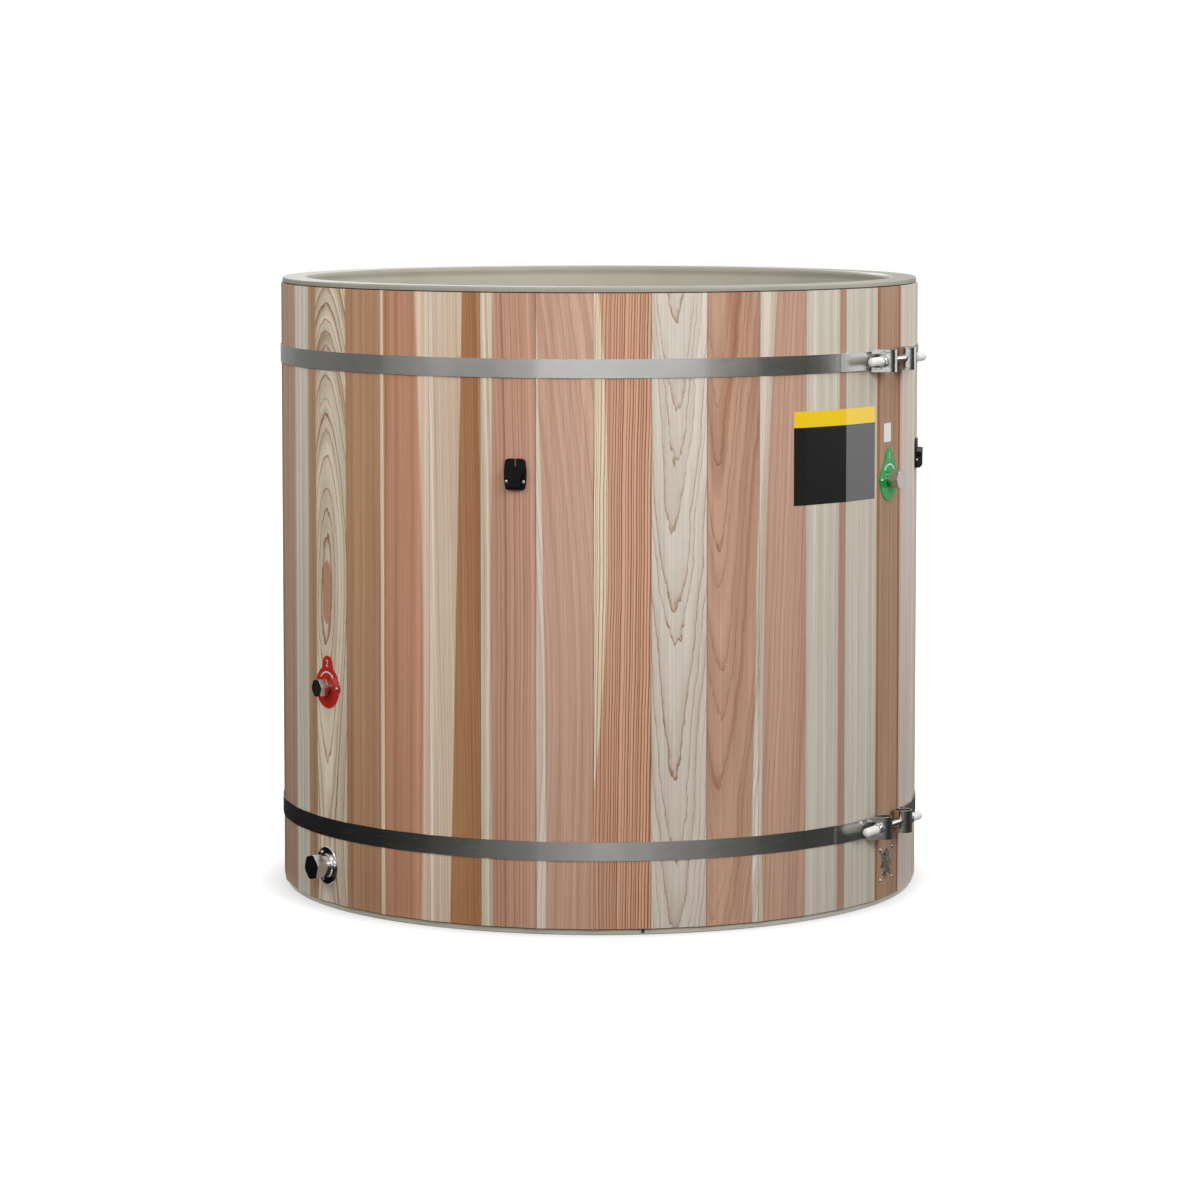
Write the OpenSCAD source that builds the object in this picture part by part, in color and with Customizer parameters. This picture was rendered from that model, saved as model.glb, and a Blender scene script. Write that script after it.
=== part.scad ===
// Barrel cold plunge tub. A moulded liner stands in a foam jacket, and a ring of upright
// cedar boards closes round the jacket, drawn together by two steel hoops.
// Lengths are millimetres and +Z is up. The origin is the centre of the underside.
// The front faces -Y, and a bearing is the angle from the front, growing towards +X.

/* [Barrel] */
// Diameter over the corners of the boards
barrel_d = 1080; // [1000:5:1160]
// Number of boards in the ring
board_count = 37; // [35:1:39]
// Bearing of the board numbered zero, in degrees
board_zero_at = 3.87; // [2:0.1:6]
// Length of a board
board_len = 1010.5; // [960:0.5:1060]
// Thickness of a board
board_t = 24; // [20:0.5:28]
// Eased edge along each side of a board
board_ease = 1.4; // [0.6:0.1:2.4]
// Gap left in each joint between two boards
joint_gap = 0.2; // [0.1:0.05:0.5]
// Thickness of the tongue on a board's edge
tongue_t = 7; // [5:0.5:9]
// Reach of the tongue
tongue_l = 6; // [4:0.5:8]
// Taper of the tongue on each side
tongue_taper = 1; // [0.5:0.25:1.5]
// Clearance round the tongue in its groove
tongue_fit = 0.4; // [0.2:0.1:0.8]

/* [Base pan] */
// Height of the pan's visible edge
pan_edge_h = 8.5; // [6:0.5:12]
// Shadow gap between the edge and the boards
pan_gap = 2; // [1:0.25:3]
// How far the edge stands in from the barrel's corners
pan_inset = 7; // [4:0.5:10]
// Width of the ledge outside the raised seat
pan_ledge = 4; // [2:0.5:6]
// Thickness of the pan's web
pan_web = 6; // [5:0.5:8]
// Width of the foot ring under the boards
foot_w = 32; // [20:1:45]
// Radius of the middle foot
hub_r = 45; // [30:1:60]
// Number of ribs under the pan
rib_count = 8; // [6:1:12]
// Thickness of a rib
rib_t = 6; // [4:0.5:10]
// Bearing of the rubber weep plug, in degrees
plug_at = 7.5; // [5:0.5:12]
// Width of the weep plug
plug_w = 4.6; // [3:0.2:8]
// Height of the weep plug
plug_h = 5; // [4:0.2:6]
// Depth of the weep plug
plug_l = 14; // [8:1:24]
// How far the weep plug stands out of the edge
plug_out = 1.6; // [0.5:0.1:3]

/* [Liner] */
// Thickness of the moulded wall
wall = 6; // [5:0.25:7]
// Width of the rim, from its outer edge to the opening
rim_w = 45; // [38:0.5:48]
// Height of the rim above the boards
rim_h = 10; // [8:0.5:14]
// How far the rim stands in from the barrel's corners
rim_inset = 3; // [1:0.5:6]
// Shadow gap between the rim's lip and the boards
lip_gap = 1.5; // [0.5:0.25:3]
// Width of the lip outside the rim's seat
lip_w = 8; // [4:0.5:10]
// Rounding of the rim's outer top edge
rim_edge_r = 4; // [2:0.5:6]
// Rounding of the rim's inner edge
rim_throat_r = 8; // [4:0.5:12]
// Taper of the bath wall, in degrees
draft = 0.8; // [0.2:0.1:1]
// Rounding between the wall and the floor
cove_r = 14; // [10:1:15]
// Thickness of the foam under the floor
floor_foam = 13.5; // [10:0.5:20]
// Clearance between the foam and what it lines
foam_fit = 0.3; // [0.1:0.1:0.8]

/* [Hoops] */
// Drop of the upper hoop's middle below the top of the boards
upper_hoop_drop = 118.2; // [90:1:150]
// Rise of the lower hoop's middle above the foot of the boards
lower_hoop_rise = 124.8; // [115:1:150]
// Width of a hoop
hoop_w = 30; // [25:1:36]
// Thickness of a hoop
hoop_t = 1.2; // [0.8:0.1:2]
// Clearance between a hoop and the board corners
hoop_fit = 0.2; // [0.1:0.05:0.5]
// Sideways place of the upper clamp on the inlet board
upper_clamp_x = -8; // [-20:1:20]
// Sideways place of the lower clamp on the inlet board
lower_clamp_x = -15; // [-20:1:20]
// Length of the strap that carries a lug
strap_len = 110; // [90:1:130]
// Thickness of that strap
strap_t = 1.5; // [1:0.1:2.5]

/* [Clamp] */
// Half the distance between the two lug tubes
lug_x = 38; // [32:0.5:44]
// Outer diameter of a lug tube
lug_od = 31; // [28:0.5:34]
// Wall of a lug tube
lug_wall = 2.6; // [2:0.1:3.5]
// Height of a lug tube
lug_h = 37; // [32:1:44]
// Diameter of the cross hole in a lug tube
lug_hole_d = 14; // [12:0.5:16]
// How far along the strap the tube's two side strips run
strip_len = 27; // [24:1:40]
// How deep the weld sinks a tube into its strap
weld_sink = 0.8; // [0.4:0.1:1.2]
// Diameter of the threaded rod
rod_d = 10; // [8:0.5:11]
// Running clearance on the rod's thread
thread_fit = 0.15; // [0.1:0.05:0.3]
// Thickness of a clamp washer
washer_t = 2; // [1.5:0.25:3]
// Diameter of a clamp washer
washer_d = 21; // [19:0.5:24]
// Width across the flats of a clamp nut
nut_af = 17; // [15:0.5:19]
// Height of a clamp nut
nut_h = 8; // [6:0.5:10]
// Free thread between a nut and its end cap
nut_free = 1.6; // [1.6:0.1:3]
// Diameter of a rod end cap
end_cap_d = 14.4; // [14:0.2:18]
// Length of a rod end cap
end_cap_len = 40; // [34:1:48]
// Thickness of the end cap's closed end
end_cap_tip = 11; // [8:0.5:14]
// Clearance between parts that only touch
seat_fit = 0.1; // [0.05:0.05:0.2]

/* [Ports] */
// Sideways place of the outlet on its board
outlet_x = -11; // [-16:1:16]
// Height of the outlet
outlet_z = 367; // [320:1:420]
// Sideways place of the inlet on its board
inlet_x = -2; // [-8:1:8]
// Height of the inlet
inlet_z = 704.5; // [660:1:760]
// Outer diameter of the outlet and inlet pipes
pipe_d = 21; // [20:0.25:22]
// Bore of the outlet and inlet pipes
pipe_bore_d = 16; // [12:0.5:17]
// How far the outlet and inlet caps stand out of the board
cap_out = 22.5; // [20:0.5:28]
// Length of the outlet and inlet caps
cap_len = 15; // [14:0.5:17]
// Width across the flats of the outlet and inlet caps
cap_af = 27.5; // [26:0.5:30]
// Thickness of the closed end of a cap
cap_end = 3; // [2.5:0.25:4]
// Turn of the outlet cap's corners from level, in degrees
outlet_cap_turn = 8; // [0:1:30]
// Turn of the inlet cap's corners from level, in degrees
inlet_cap_turn = 0; // [0:1:30]
// Thickness of the sealing ring in a cap
seal_t = 1.5; // [1:0.1:2]
// Clearance round a port where it passes the wood and the foam
port_fit = 0.5; // [0.3:0.1:1]
// Room round a port's inner flange and round its locknut
pocket_fit = 1; // [0.5:0.25:2]
// Thickness of the inner flange of a port
flange_t = 3; // [2:0.25:4]
// Thickness of the gasket of a port
gasket_t = 2.5; // [2:0.25:4]
// How far the inner flange reaches past its pipe
flange_w = 9; // [7:0.5:9.4]
// Height of a locknut behind the liner
locknut_h = 6; // [5:0.5:8]

/* [Drain] */
// Sideways place of the drain on the outlet board
drain_x = -15; // [-16:1:12]
// Height of the drain
drain_z = 71; // [70:1:80]
// Outer diameter of the drain pipe
drain_d = 33.2; // [32:0.2:34]
// Bore of the drain pipe
drain_bore_d = 27; // [22:0.5:28]
// How far the drain cap stands out of the board
drain_out = 32; // [28:0.5:38]
// Length of the drain cap
drain_cap_len = 16; // [16:0.5:19]
// Width across the flats of the drain cap
drain_af = 38; // [37.5:0.5:42]
// Turn of the drain cap's corners from level, in degrees
drain_cap_turn = 13; // [0:1:30]
// Diameter of the drain flange
rosette_d = 63; // [58:1:66]
// Thickness of the drain flange
rosette_t = 2.5; // [2:0.25:4]
// Radius of the screws on the drain flange
rosette_pcr = 25; // [23:0.5:26]
// Bearing of the drain flange's first screw, in degrees
rosette_turn = 5; // [0:5:60]

/* [Plates] */
// Thickness of the outlet and inlet plates
plate_t = 2; // [1.5:0.25:3]
// Radius of a plate's disc
plate_r = 34.5; // [32:0.5:36]
// Radius of the lobe on top of a plate
lobe_r = 14.5; // [13:0.5:16]
// Height of the lobe above the pipe
lobe_y = 37.5; // [34:0.5:40]
// How far the lobe's sides lean out towards the disc, in degrees
lobe_lean = 10; // [4:1:16]
// Radius of the ears beside a plate
ear_r = 8; // [6:0.5:9]
// Distance of each ear's screw from the pipe
ear_x = 30; // [28:0.5:32]

/* [Screws] */
// Diameter of a screw head
head_d = 6; // [5:0.25:7]
// Height of a screw head
head_h = 2.2; // [1.5:0.1:3]
// Diameter of a screw shank
shank_d = 3; // [2.5:0.25:3.5]
// Depth of a screw in the wood
screw_grip = 7; // [5:0.5:7.5]
// Clearance round a screw shank
screw_fit = 0.1; // [0.05:0.05:0.2]

/* [Vent] */
// Sideways place of the vent on the inlet board
vent_x = -6; // [-14:1:14]
// Height of the vent
vent_z = 66.5; // [62:0.5:80]
// Width of the vent's ornament
vent_w = 43; // [38:1:44]
// Height of the vent's ornament
vent_h = 52; // [46:1:55]
// Thickness of the vent grille
vent_t = 1.6; // [1.2:0.1:2.5]
// Width of the ornament's bars
vent_bar = 1.8; // [1.4:0.1:2.4]
// Radius of the boss in its middle
vent_boss_r = 4.5; // [4:0.5:6]
// Sideways place of the vent's screws
vent_screw_x = 23; // [21:0.5:25]
// Upright place of the vent's screws
vent_screw_y = 25.3; // [24:0.5:28]
// Diameter of the vent's hole through the board
vent_hole_d = 28; // [20:1:30]
// Depth of the vent's hole in the foam
vent_pocket = 12; // [8:1:14]

/* [Cover clips] */
// Sideways place of the front clip on its board
front_clip_x = 13; // [-20:1:20]
// Height of the clips' middle
clip_z = 735; // [690:1:780]
// Width of a clip
clip_w = 37; // [34:1:40]
// Height of a clip
clip_h = 50; // [46:1:56]
// Thickness of a clip's back plate
clip_back_t = 3.5; // [2.5:0.25:4.5]
// Overall thickness of a clip
clip_t = 12; // [11.5:0.5:14]
// Front wall of a clip's pocket
clip_front_t = 2.2; // [1.8:0.1:2.8]
// Side walls of a clip's pocket
clip_side_t = 3; // [2:0.25:4]
// Height of a clip's pocket body
clip_body_h = 34; // [30:1:38]
// Depth of a clip's pocket
clip_pocket_h = 27; // [22:1:28]
// Width of the slot in a clip's back plate
clip_slot_w = 3; // [2:0.25:4]
// Length of the slot in a clip's back plate
clip_slot_h = 12; // [8:0.5:14]
// Sideways place of a clip's screws
clip_screw_x = 13.6; // [13:0.2:14.4]
// Drop of a clip's screws below its middle
clip_screw_y = 11.5; // [10:0.5:14]

/* [Inner fittings] */
// How far the suction strainer stands into the bath
strainer_h = 16; // [13:1:20]
// Number of slots in the strainer
strainer_slots = 8; // [6:1:10]
// Width of a strainer slot
slot_w = 4; // [3:0.25:5]
// Wall of the inner fittings
fitting_wall = 2.5; // [2:0.25:3.5]
// Length of the return nozzle
nozzle_l = 14; // [10:1:20]
// Reach of a fitting's spigot into its pipe
spigot_l = 12; // [8:1:20]
// Diameter of the return nozzle's mouth
nozzle_d = 11; // [8:0.5:13]
// Number of holes in the drain grate
grate_holes = 6; // [5:1:7]
// Diameter of the drain grate's holes
grate_hole_d = 5; // [4:0.25:6]

/* [Hidden] */

$fn = 96;

// Board numbers of the two drilled boards, counted from board zero
outlet_board = -6;
inlet_board = 6;
// Boards that carry the cover clips: front, right, back and left
clip_boards = [-2, 8, 17, -11];
stave_groups = 9;

// The ring of boards
pitch = 360 / board_count;
barrel_r = barrel_d / 2;
face_r = barrel_r * cos(pitch / 2);
back_r = face_r - board_t;
boards_below = floor(board_count / 2);
plain_boards = [
  for (k = [-boards_below : board_count - 1 - boards_below])
    if (k != outlet_board && k != inlet_board) k
];

// Heights
board_z0 = pan_edge_h + pan_gap;
board_z1 = board_z0 + board_len;
rim_z = board_z1 + rim_h;
floor_z = board_z0 + floor_foam + wall;

// Liner and pan radii
rim_r = barrel_r - rim_inset;
opening_r = rim_r - rim_w;
pan_r = barrel_r - pan_inset;

// Hoops and clamps
upper_hoop_z = board_z1 - upper_hoop_drop;
lower_hoop_z = board_z0 + lower_hoop_rise;
hoop_r = barrel_r + hoop_fit;
strap_r = hoop_r + hoop_t + seat_fit;
lug_r = strap_r + strap_t + lug_od / 2 - weld_sink;
lug_y = sqrt(lug_r * lug_r - lug_x * lug_x);
lug_at = atan(lug_x / lug_y);
strap_at = lug_at + strap_len / strap_r * 180 / PI;
washer_x = lug_x + lug_od / 2 + seat_fit;
nut_x = washer_x + washer_t + seat_fit;
end_cap_x = nut_x + nut_h + nut_free;
rod_half = end_cap_x + end_cap_len - end_cap_tip;

// Ports: where each pipe ends, measured outwards from the board's face
pipe_end = cap_out - cap_end - seal_t - 2 * seat_fit;
drain_end = drain_out - cap_end - seal_t - 2 * seat_fit;

// Points on an arc about a centre
function arc(c, r, a0, a1, n = 8) =
  [for (i = [0:n]) let (a = a0 + (a1 - a0) * i / n) c + r * [cos(a), sin(a)]];

// Bearing of a board
function board_at(k) = board_zero_at + k * pitch;

// Inner radius of the bath wall at a height
function bath_r(z) = opening_r - (rim_z - z) * tan(draft);

// Distance from a board's face in to the flat of the liner's spot face, at a height
function spot_in(z) = face_r - bath_r(z) - seat_fit;

// Puts children on a board, with their Z pointing out of its face and Y pointing up
module on_board(k, x, z) {
  rotate([0, 0, board_at(k)])
    translate([x, -face_r, z])
      rotate([90, 0, 0])
        children();
}

// Puts children at a clamp, seen from outside: X along the rod, Z up
module at_clamp(x, z) {
  rotate([0, 0, board_at(inlet_board) + atan(x / face_r)])
    translate([0, 0, z])
      children();
}

// Puts children on the rod of a clamp, with their Z pointing away from the lugs
module on_rod(x, z, side) {
  at_clamp(x, z)
    translate([0, -lug_y, 0])
      rotate([0, side * 90, 0])
        children();
}

// A ring, or a closed disc where the bore is nothing
module ring(r, bore_r, h) {
  difference() {
    cylinder(r = r, h = h);
    if (bore_r > 0)
      translate([0, 0, -1])
        cylinder(r = bore_r, h = h + 2);
  }
}

// A piece of hoop between two bearings
module hoop_arc(a0, a1, r, t) {
  rotate([0, 0, a0 - 90])
    rotate_extrude(angle = a1 - a0)
      translate([r, -hoop_w / 2])
        square([t, hoop_w]);
}

// A hexagon with its corners turned off at both ends
module turned_hex(af, h, ease = 1) {
  across = af / cos(30);
  bevel = min((across - af) / 2 * ease, h / 4);
  intersection() {
    cylinder(d = across, h = h, $fn = 6);
    rotate_extrude()
      polygon([
        [0, 0], [across / 2 - bevel, 0], [across / 2, bevel], [across / 2, h - bevel],
        [across / 2 - bevel, h], [0, h]
      ]);
  }
}

// A pan-head screw standing on z = 0, its shank below
module pan_screw(grip) {
  edge = head_d / 2;
  rotate_extrude()
    polygon(concat(
      [[0, -grip], [shank_d / 2 - 1, -grip], [shank_d / 2, -grip + 3], [shank_d / 2, 0]],
      [[edge, 0], [edge, head_h * 0.35]],
      [for (i = [1:6]) [edge * cos(i * 15), head_h * (0.35 + 0.65 * sin(i * 15))]]
    ));
}

// The hole that a screw shank needs, below z = 0 and a little above it
module screw_hole(grip) {
  translate([0, 0, -grip - screw_fit])
    cylinder(d = shank_d + 2 * screw_fit, h = grip + 2 * screw_fit + 1);
}

// The screws that hold a plate, as places on it
plate_screws = [[ear_x, 0], [-ear_x, 0]];
rosette_screws = [
  for (i = [0:2]) rosette_pcr * [cos(rosette_turn + i * 120), sin(rosette_turn + i * 120)]
];
vent_screw_places = [
  for (sx = [-1, 1]) for (sy = [-1, 1]) [sx * vent_screw_x, sy * vent_screw_y]
];
clip_screw_places = [[-clip_screw_x, -clip_screw_y], [clip_screw_x, -clip_screw_y]];

module screws_at(places, seat) {
  for (p = places)
    translate([p[0], p[1], seat])
      pan_screw(seat + screw_grip);
}

module screw_holes_at(places) {
  for (p = places)
    translate([p[0], p[1], 0])
      screw_hole(screw_grip);
}

// A point in the joint at a half angle: out along the joint, then square to it
function seam(half, out, square) =
  out * [sin(half), -cos(half)] + square * [cos(half), sin(half)];

// One board, standing on the seat with its middle at bearing zero
module plain_board() {
  half = pitch / 2;
  side = joint_gap / 2;
  outer = barrel_r * sin(half) - side;
  shoulder = barrel_r - board_ease;
  heel = back_r / cos(half);
  mid = (barrel_r + heel) / 2;
  tip = tongue_t / 2 - tongue_taper;
  root = tongue_t / 2;
  deep = tongue_l + tongue_fit;
  translate([0, 0, board_z0])
    linear_extrude(board_len)
      polygon([
        [outer - board_ease, -face_r],
        seam(half, shoulder, -side),
        seam(half, mid + root, -side),
        seam(half, mid + tip, tongue_l),
        seam(half, mid - tip, tongue_l),
        seam(half, mid - root, -side),
        seam(half, heel, -side),
        seam(-half, heel, side),
        seam(-half, mid - root - tongue_fit, side),
        seam(-half, mid - tip - tongue_fit, deep),
        seam(-half, mid + tip + tongue_fit, deep),
        seam(-half, mid + root + tongue_fit, side),
        seam(-half, shoulder, side),
        [board_ease - outer, -face_r]
      ]);
}

// The holes that one board carries for its fittings, in the tub's frame
module board_holes(k) {
  deep = board_t + 10;
  if (k == outlet_board) {
    on_board(k, outlet_x, outlet_z) {
      translate([0, 0, -deep])
        cylinder(d = pipe_d + 2 * port_fit, h = deep + 5);
      screw_holes_at(plate_screws);
    }
    on_board(k, drain_x, drain_z) {
      translate([0, 0, -deep])
        cylinder(d = drain_d + 2 * port_fit, h = deep + 5);
      screw_holes_at(rosette_screws);
    }
  }
  if (k == inlet_board) {
    on_board(k, inlet_x, inlet_z) {
      translate([0, 0, -deep])
        cylinder(d = pipe_d + 2 * port_fit, h = deep + 5);
      screw_holes_at(plate_screws);
    }
    on_board(k, vent_x, vent_z) {
      translate([0, 0, -deep])
        cylinder(d = vent_hole_d, h = deep + 5);
      screw_holes_at(vent_screw_places);
    }
  }
  for (i = [0 : len(clip_boards) - 1])
    if (clip_boards[i] == k)
      on_board(k, clip_x(i), clip_z)
        screw_holes_at(clip_screw_places);
}

module stave(k) {
  difference() {
    rotate([0, 0, board_at(k)])
      plain_board();
    board_holes(k);
  }
}

// The plain boards are kept in groups that go round the barrel from the back left
module stave_group(g) {
  n = len(plain_boards);
  first = floor(g * n / stave_groups);
  last = floor((g + 1) * n / stave_groups) - 1;
  color(g % 2 == 0 ? "burlywood" : "rosybrown")
    for (i = [first:last])
      stave(plain_boards[i]);
}

module outlet_stave() { color("wheat") stave(outlet_board); }
module inlet_stave() { color("peru") stave(inlet_board); }
module staves_back_left() { stave_group(0); }
module staves_left_rear() { stave_group(1); }
module staves_left() { stave_group(2); }
module staves_front_left() { stave_group(3); }
module staves_front() { stave_group(4); }
module staves_front_right() { stave_group(5); }
module staves_right() { stave_group(6); }
module staves_right_rear() { stave_group(7); }
module staves_back_right() { stave_group(8); }

// The liner's bath side, from the middle of the floor up and over the rim to its lip
function bath_side() = concat(
  [[0, floor_z]],
  arc([bath_r(floor_z + cove_r) - cove_r, floor_z + cove_r], cove_r, -90, 0),
  arc([bath_r(rim_z - rim_throat_r) + rim_throat_r, rim_z - rim_throat_r],
      rim_throat_r, 180 - draft, 90),
  arc([rim_r - rim_edge_r, rim_z - rim_edge_r], rim_edge_r, 90, 0),
  arc([rim_r - 1, board_z1 + lip_gap + 1], 1, 0, -90, 3)
);

// The liner's hidden side, offset from the wall by a distance, from the rim down
function hidden_side(off) = [
  each [[bath_r(board_z1) + off, board_z1]],
  each arc([bath_r(floor_z + cove_r) - cove_r, floor_z + cove_r], cove_r + off, 0, -90),
  [0, floor_z - off]
];

// The three ports, each as its board, place, pipe and bore
ports = [
  [outlet_board, outlet_x, outlet_z, pipe_d, pipe_bore_d],
  [inlet_board, inlet_x, inlet_z, pipe_d, pipe_bore_d],
  [outlet_board, drain_x, drain_z, drain_d, drain_bore_d]
];

// Puts children on a port's axis, with z = 0 on the liner's spot face
module at_port(p) {
  on_board(p[0], p[1], p[2])
    translate([0, 0, -spot_in(p[2])])
      children();
}

module liner() {
  color("#a8a596")
    difference() {
      rotate_extrude()
        polygon(concat(
          bath_side(),
          [[rim_r - lip_w, board_z1 + lip_gap], [rim_r - lip_w, board_z1]],
          hidden_side(wall)
        ));
      for (p = ports)
        at_port(p) {
          translate([0, 0, -strainer_h])
            cylinder(r = p[3] / 2 + flange_w + pocket_fit, h = strainer_h);
          translate([0, 0, -1])
            cylinder(d = p[3] + 2 * port_fit, h = wall + 10);
        }
    }
}

module foam_jacket() {
  outer = back_r - foam_fit;
  color("#e8d9a8")
    difference() {
      rotate_extrude()
        polygon(concat(
          [[0, board_z0], [outer, board_z0], [outer, board_z1 - foam_fit]],
          [[bath_r(board_z1) + wall + foam_fit, board_z1 - foam_fit]],
          [for (q = hidden_side(wall + foam_fit)) if (q[1] < board_z1) q]
        ));
      for (p = ports)
        at_port(p) {
          cylinder(d = p[3] + 2 * port_fit, h = spot_in(p[2]));
          cylinder(r = p[3] / 2 + flange_w + pocket_fit, h = wall + locknut_h + 2 * pocket_fit);
        }
      on_board(inlet_board, vent_x, vent_z)
        translate([0, 0, -board_t - vent_pocket])
          cylinder(d = vent_hole_d, h = board_t + vent_pocket);
    }
}

// The plug's pocket is a slot in the pan's edge, open to the front
module weep_block(fit) {
  rotate([0, 0, plug_at])
    translate([-plug_w / 2 - fit, -pan_r - plug_out, pan_edge_h - plug_h - fit])
      cube([plug_w + 2 * fit, plug_l, plug_h + 2 * fit]);
}

module base_pan() {
  seat_r = pan_r - pan_ledge;
  web_z = board_z0 - pan_web;
  toe = 1.5;
  color("#9c998a")
    difference() {
      union() {
        rotate_extrude()
          polygon(concat(
            [[0, 0], [hub_r, 0], [hub_r, web_z]],
            [[pan_r - foot_w, web_z], [pan_r - foot_w, 0]],
            [[pan_r - toe, 0], [pan_r, toe]],
            arc([pan_r - 1, pan_edge_h - 1], 1, 0, 90, 3),
            [[seat_r, pan_edge_h], [seat_r, board_z0], [0, board_z0]]
          ));
        for (i = [0 : rib_count - 1])
          rotate([0, 0, i * 360 / rib_count])
            translate([hub_r - 1, -rib_t / 2, 0])
              cube([pan_r - foot_w - hub_r + 2, rib_t, web_z + 0.5]);
      }
      weep_block(seat_fit);
    }
}

module weep_plug() { color("#141414") weep_block(0); }

// Hoops run right round, apart from the gap between the two lugs of their clamp
module hoop(x, z) {
  color("silver")
    at_clamp(x, z)
      hoop_arc(lug_at, 360 - lug_at, hoop_r, hoop_t);
}

module upper_hoop() { hoop(upper_clamp_x, upper_hoop_z); }
module lower_hoop() { hoop(lower_clamp_x, lower_hoop_z); }

// The right-hand lug of a clamp: a strap on the hoop's end, an upright tube welded to it,
// and two strips that run from the tube down to the strap above and below the nut
module right_lug() {
  r = lug_od / 2;
  middle = [lug_x, -lug_y];
  foot_at = lug_at + strip_len / strap_r * 180 / PI;
  foot = (strap_r + strap_t) * [sin(foot_at), -cos(foot_at)];
  run = foot - middle;
  turn = atan2(run[1], run[0]) - acos(r / norm(run));
  square_off = [cos(turn), sin(turn)];
  along = [-sin(turn), cos(turn)];
  slot_h = washer_d + 1;
  difference() {
    union() {
      hoop_arc(lug_at, strap_at, strap_r, strap_t);
      translate([lug_x, -lug_y, -lug_h / 2])
        cylinder(d = lug_od, h = lug_h);
      for (low = [-lug_h / 2, slot_h / 2])
        translate([0, 0, low])
          linear_extrude((lug_h - slot_h) / 2)
            polygon([
              middle + r * square_off, foot + strap_t * along / 2,
              foot + strap_t * along / 2 - strap_t * square_off,
              middle + (r - strap_t) * square_off
            ]);
    }
    translate([lug_x, -lug_y, -lug_h / 2 - 1])
      cylinder(d = lug_od - 2 * lug_wall, h = lug_h + 2);
    translate([lug_x - lug_od, -lug_y, 0])
      rotate([0, 90, 0])
        cylinder(d = lug_hole_d, h = 2 * lug_od);
  }
}

module lug(x, z, side) {
  color("gainsboro")
    at_clamp(x, z)
      if (side > 0)
        right_lug();
      else
        mirror([1, 0, 0])
          right_lug();
}

module upper_lug_left() { lug(upper_clamp_x, upper_hoop_z, -1); }
module upper_lug_right() { lug(upper_clamp_x, upper_hoop_z, 1); }
module lower_lug_left() { lug(lower_clamp_x, lower_hoop_z, -1); }
module lower_lug_right() { lug(lower_clamp_x, lower_hoop_z, 1); }

module rod(x, z) {
  bevel = 1;
  color("lightgray")
    on_rod(x, z, 1)
      rotate_extrude()
        polygon([
          [0, -rod_half], [rod_d / 2 - bevel, -rod_half],
          [rod_d / 2, -rod_half + bevel], [rod_d / 2, rod_half - bevel],
          [rod_d / 2 - bevel, rod_half], [0, rod_half]
        ]);
}

module upper_rod() { rod(upper_clamp_x, upper_hoop_z); }
module lower_rod() { rod(lower_clamp_x, lower_hoop_z); }

module clamp_washer(x, z, side) {
  color("silver")
    on_rod(x, z, side)
      translate([0, 0, washer_x])
        ring(washer_d / 2, rod_d / 2 + thread_fit, washer_t);
}

module upper_washer_left() { clamp_washer(upper_clamp_x, upper_hoop_z, -1); }
module upper_washer_right() { clamp_washer(upper_clamp_x, upper_hoop_z, 1); }
module lower_washer_left() { clamp_washer(lower_clamp_x, lower_hoop_z, -1); }
module lower_washer_right() { clamp_washer(lower_clamp_x, lower_hoop_z, 1); }

module clamp_nut(x, z, side) {
  color("silver")
    on_rod(x, z, side)
      translate([0, 0, nut_x])
        difference() {
          turned_hex(nut_af, nut_h);
          translate([0, 0, -1])
            cylinder(d = rod_d + 2 * thread_fit, h = nut_h + 2);
        }
}

module upper_nut_left() { clamp_nut(upper_clamp_x, upper_hoop_z, -1); }
module upper_nut_right() { clamp_nut(upper_clamp_x, upper_hoop_z, 1); }
module lower_nut_left() { clamp_nut(lower_clamp_x, lower_hoop_z, -1); }
module lower_nut_right() { clamp_nut(lower_clamp_x, lower_hoop_z, 1); }

// A soft cap pushed over the rod's end: a tube with a domed tip
module end_cap(x, z, side) {
  r = end_cap_d / 2;
  depth = rod_half - end_cap_x + thread_fit;
  color("white")
    on_rod(x, z, side)
      translate([0, 0, end_cap_x])
        rotate_extrude()
          polygon(concat(
            [[rod_d / 2 + thread_fit, 0], [r - 0.6, 0], [r, 0.6]],
            arc([0, end_cap_len - r], r, 0, 90, 10),
            [[0, depth], [rod_d / 2 + thread_fit, depth]]
          ));
}

module upper_end_cap_left() { end_cap(upper_clamp_x, upper_hoop_z, -1); }
module upper_end_cap_right() { end_cap(upper_clamp_x, upper_hoop_z, 1); }
module lower_end_cap_left() { end_cap(lower_clamp_x, lower_hoop_z, -1); }
module lower_end_cap_right() { end_cap(lower_clamp_x, lower_hoop_z, 1); }

// A pipe from its flange inside the bath out to its end past the board
module port_pipe(p, end) {
  out = spot_in(p[2]) + end;
  color("silver")
    at_port(p)
      difference() {
        union() {
          translate([0, 0, -gasket_t - flange_t])
            cylinder(r = p[3] / 2 + flange_w, h = flange_t);
          translate([0, 0, -gasket_t - flange_t])
            cylinder(d = p[3], h = out + gasket_t + flange_t);
        }
        translate([0, 0, -gasket_t - flange_t - 1])
          cylinder(d = p[4], h = out + gasket_t + flange_t + 2);
      }
}

module outlet_pipe() { port_pipe(ports[0], pipe_end); }
module inlet_pipe() { port_pipe(ports[1], pipe_end); }
module drain_pipe() { port_pipe(ports[2], drain_end); }

// A sealing ring between the pipe's end and the bottom of its cap
module port_seal(p, end) {
  color("#202020")
    on_board(p[0], p[1], p[2])
      translate([0, 0, end + seat_fit])
        ring(p[3] / 2 - 0.3, p[4] / 2 + 0.3, seal_t);
}

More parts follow.
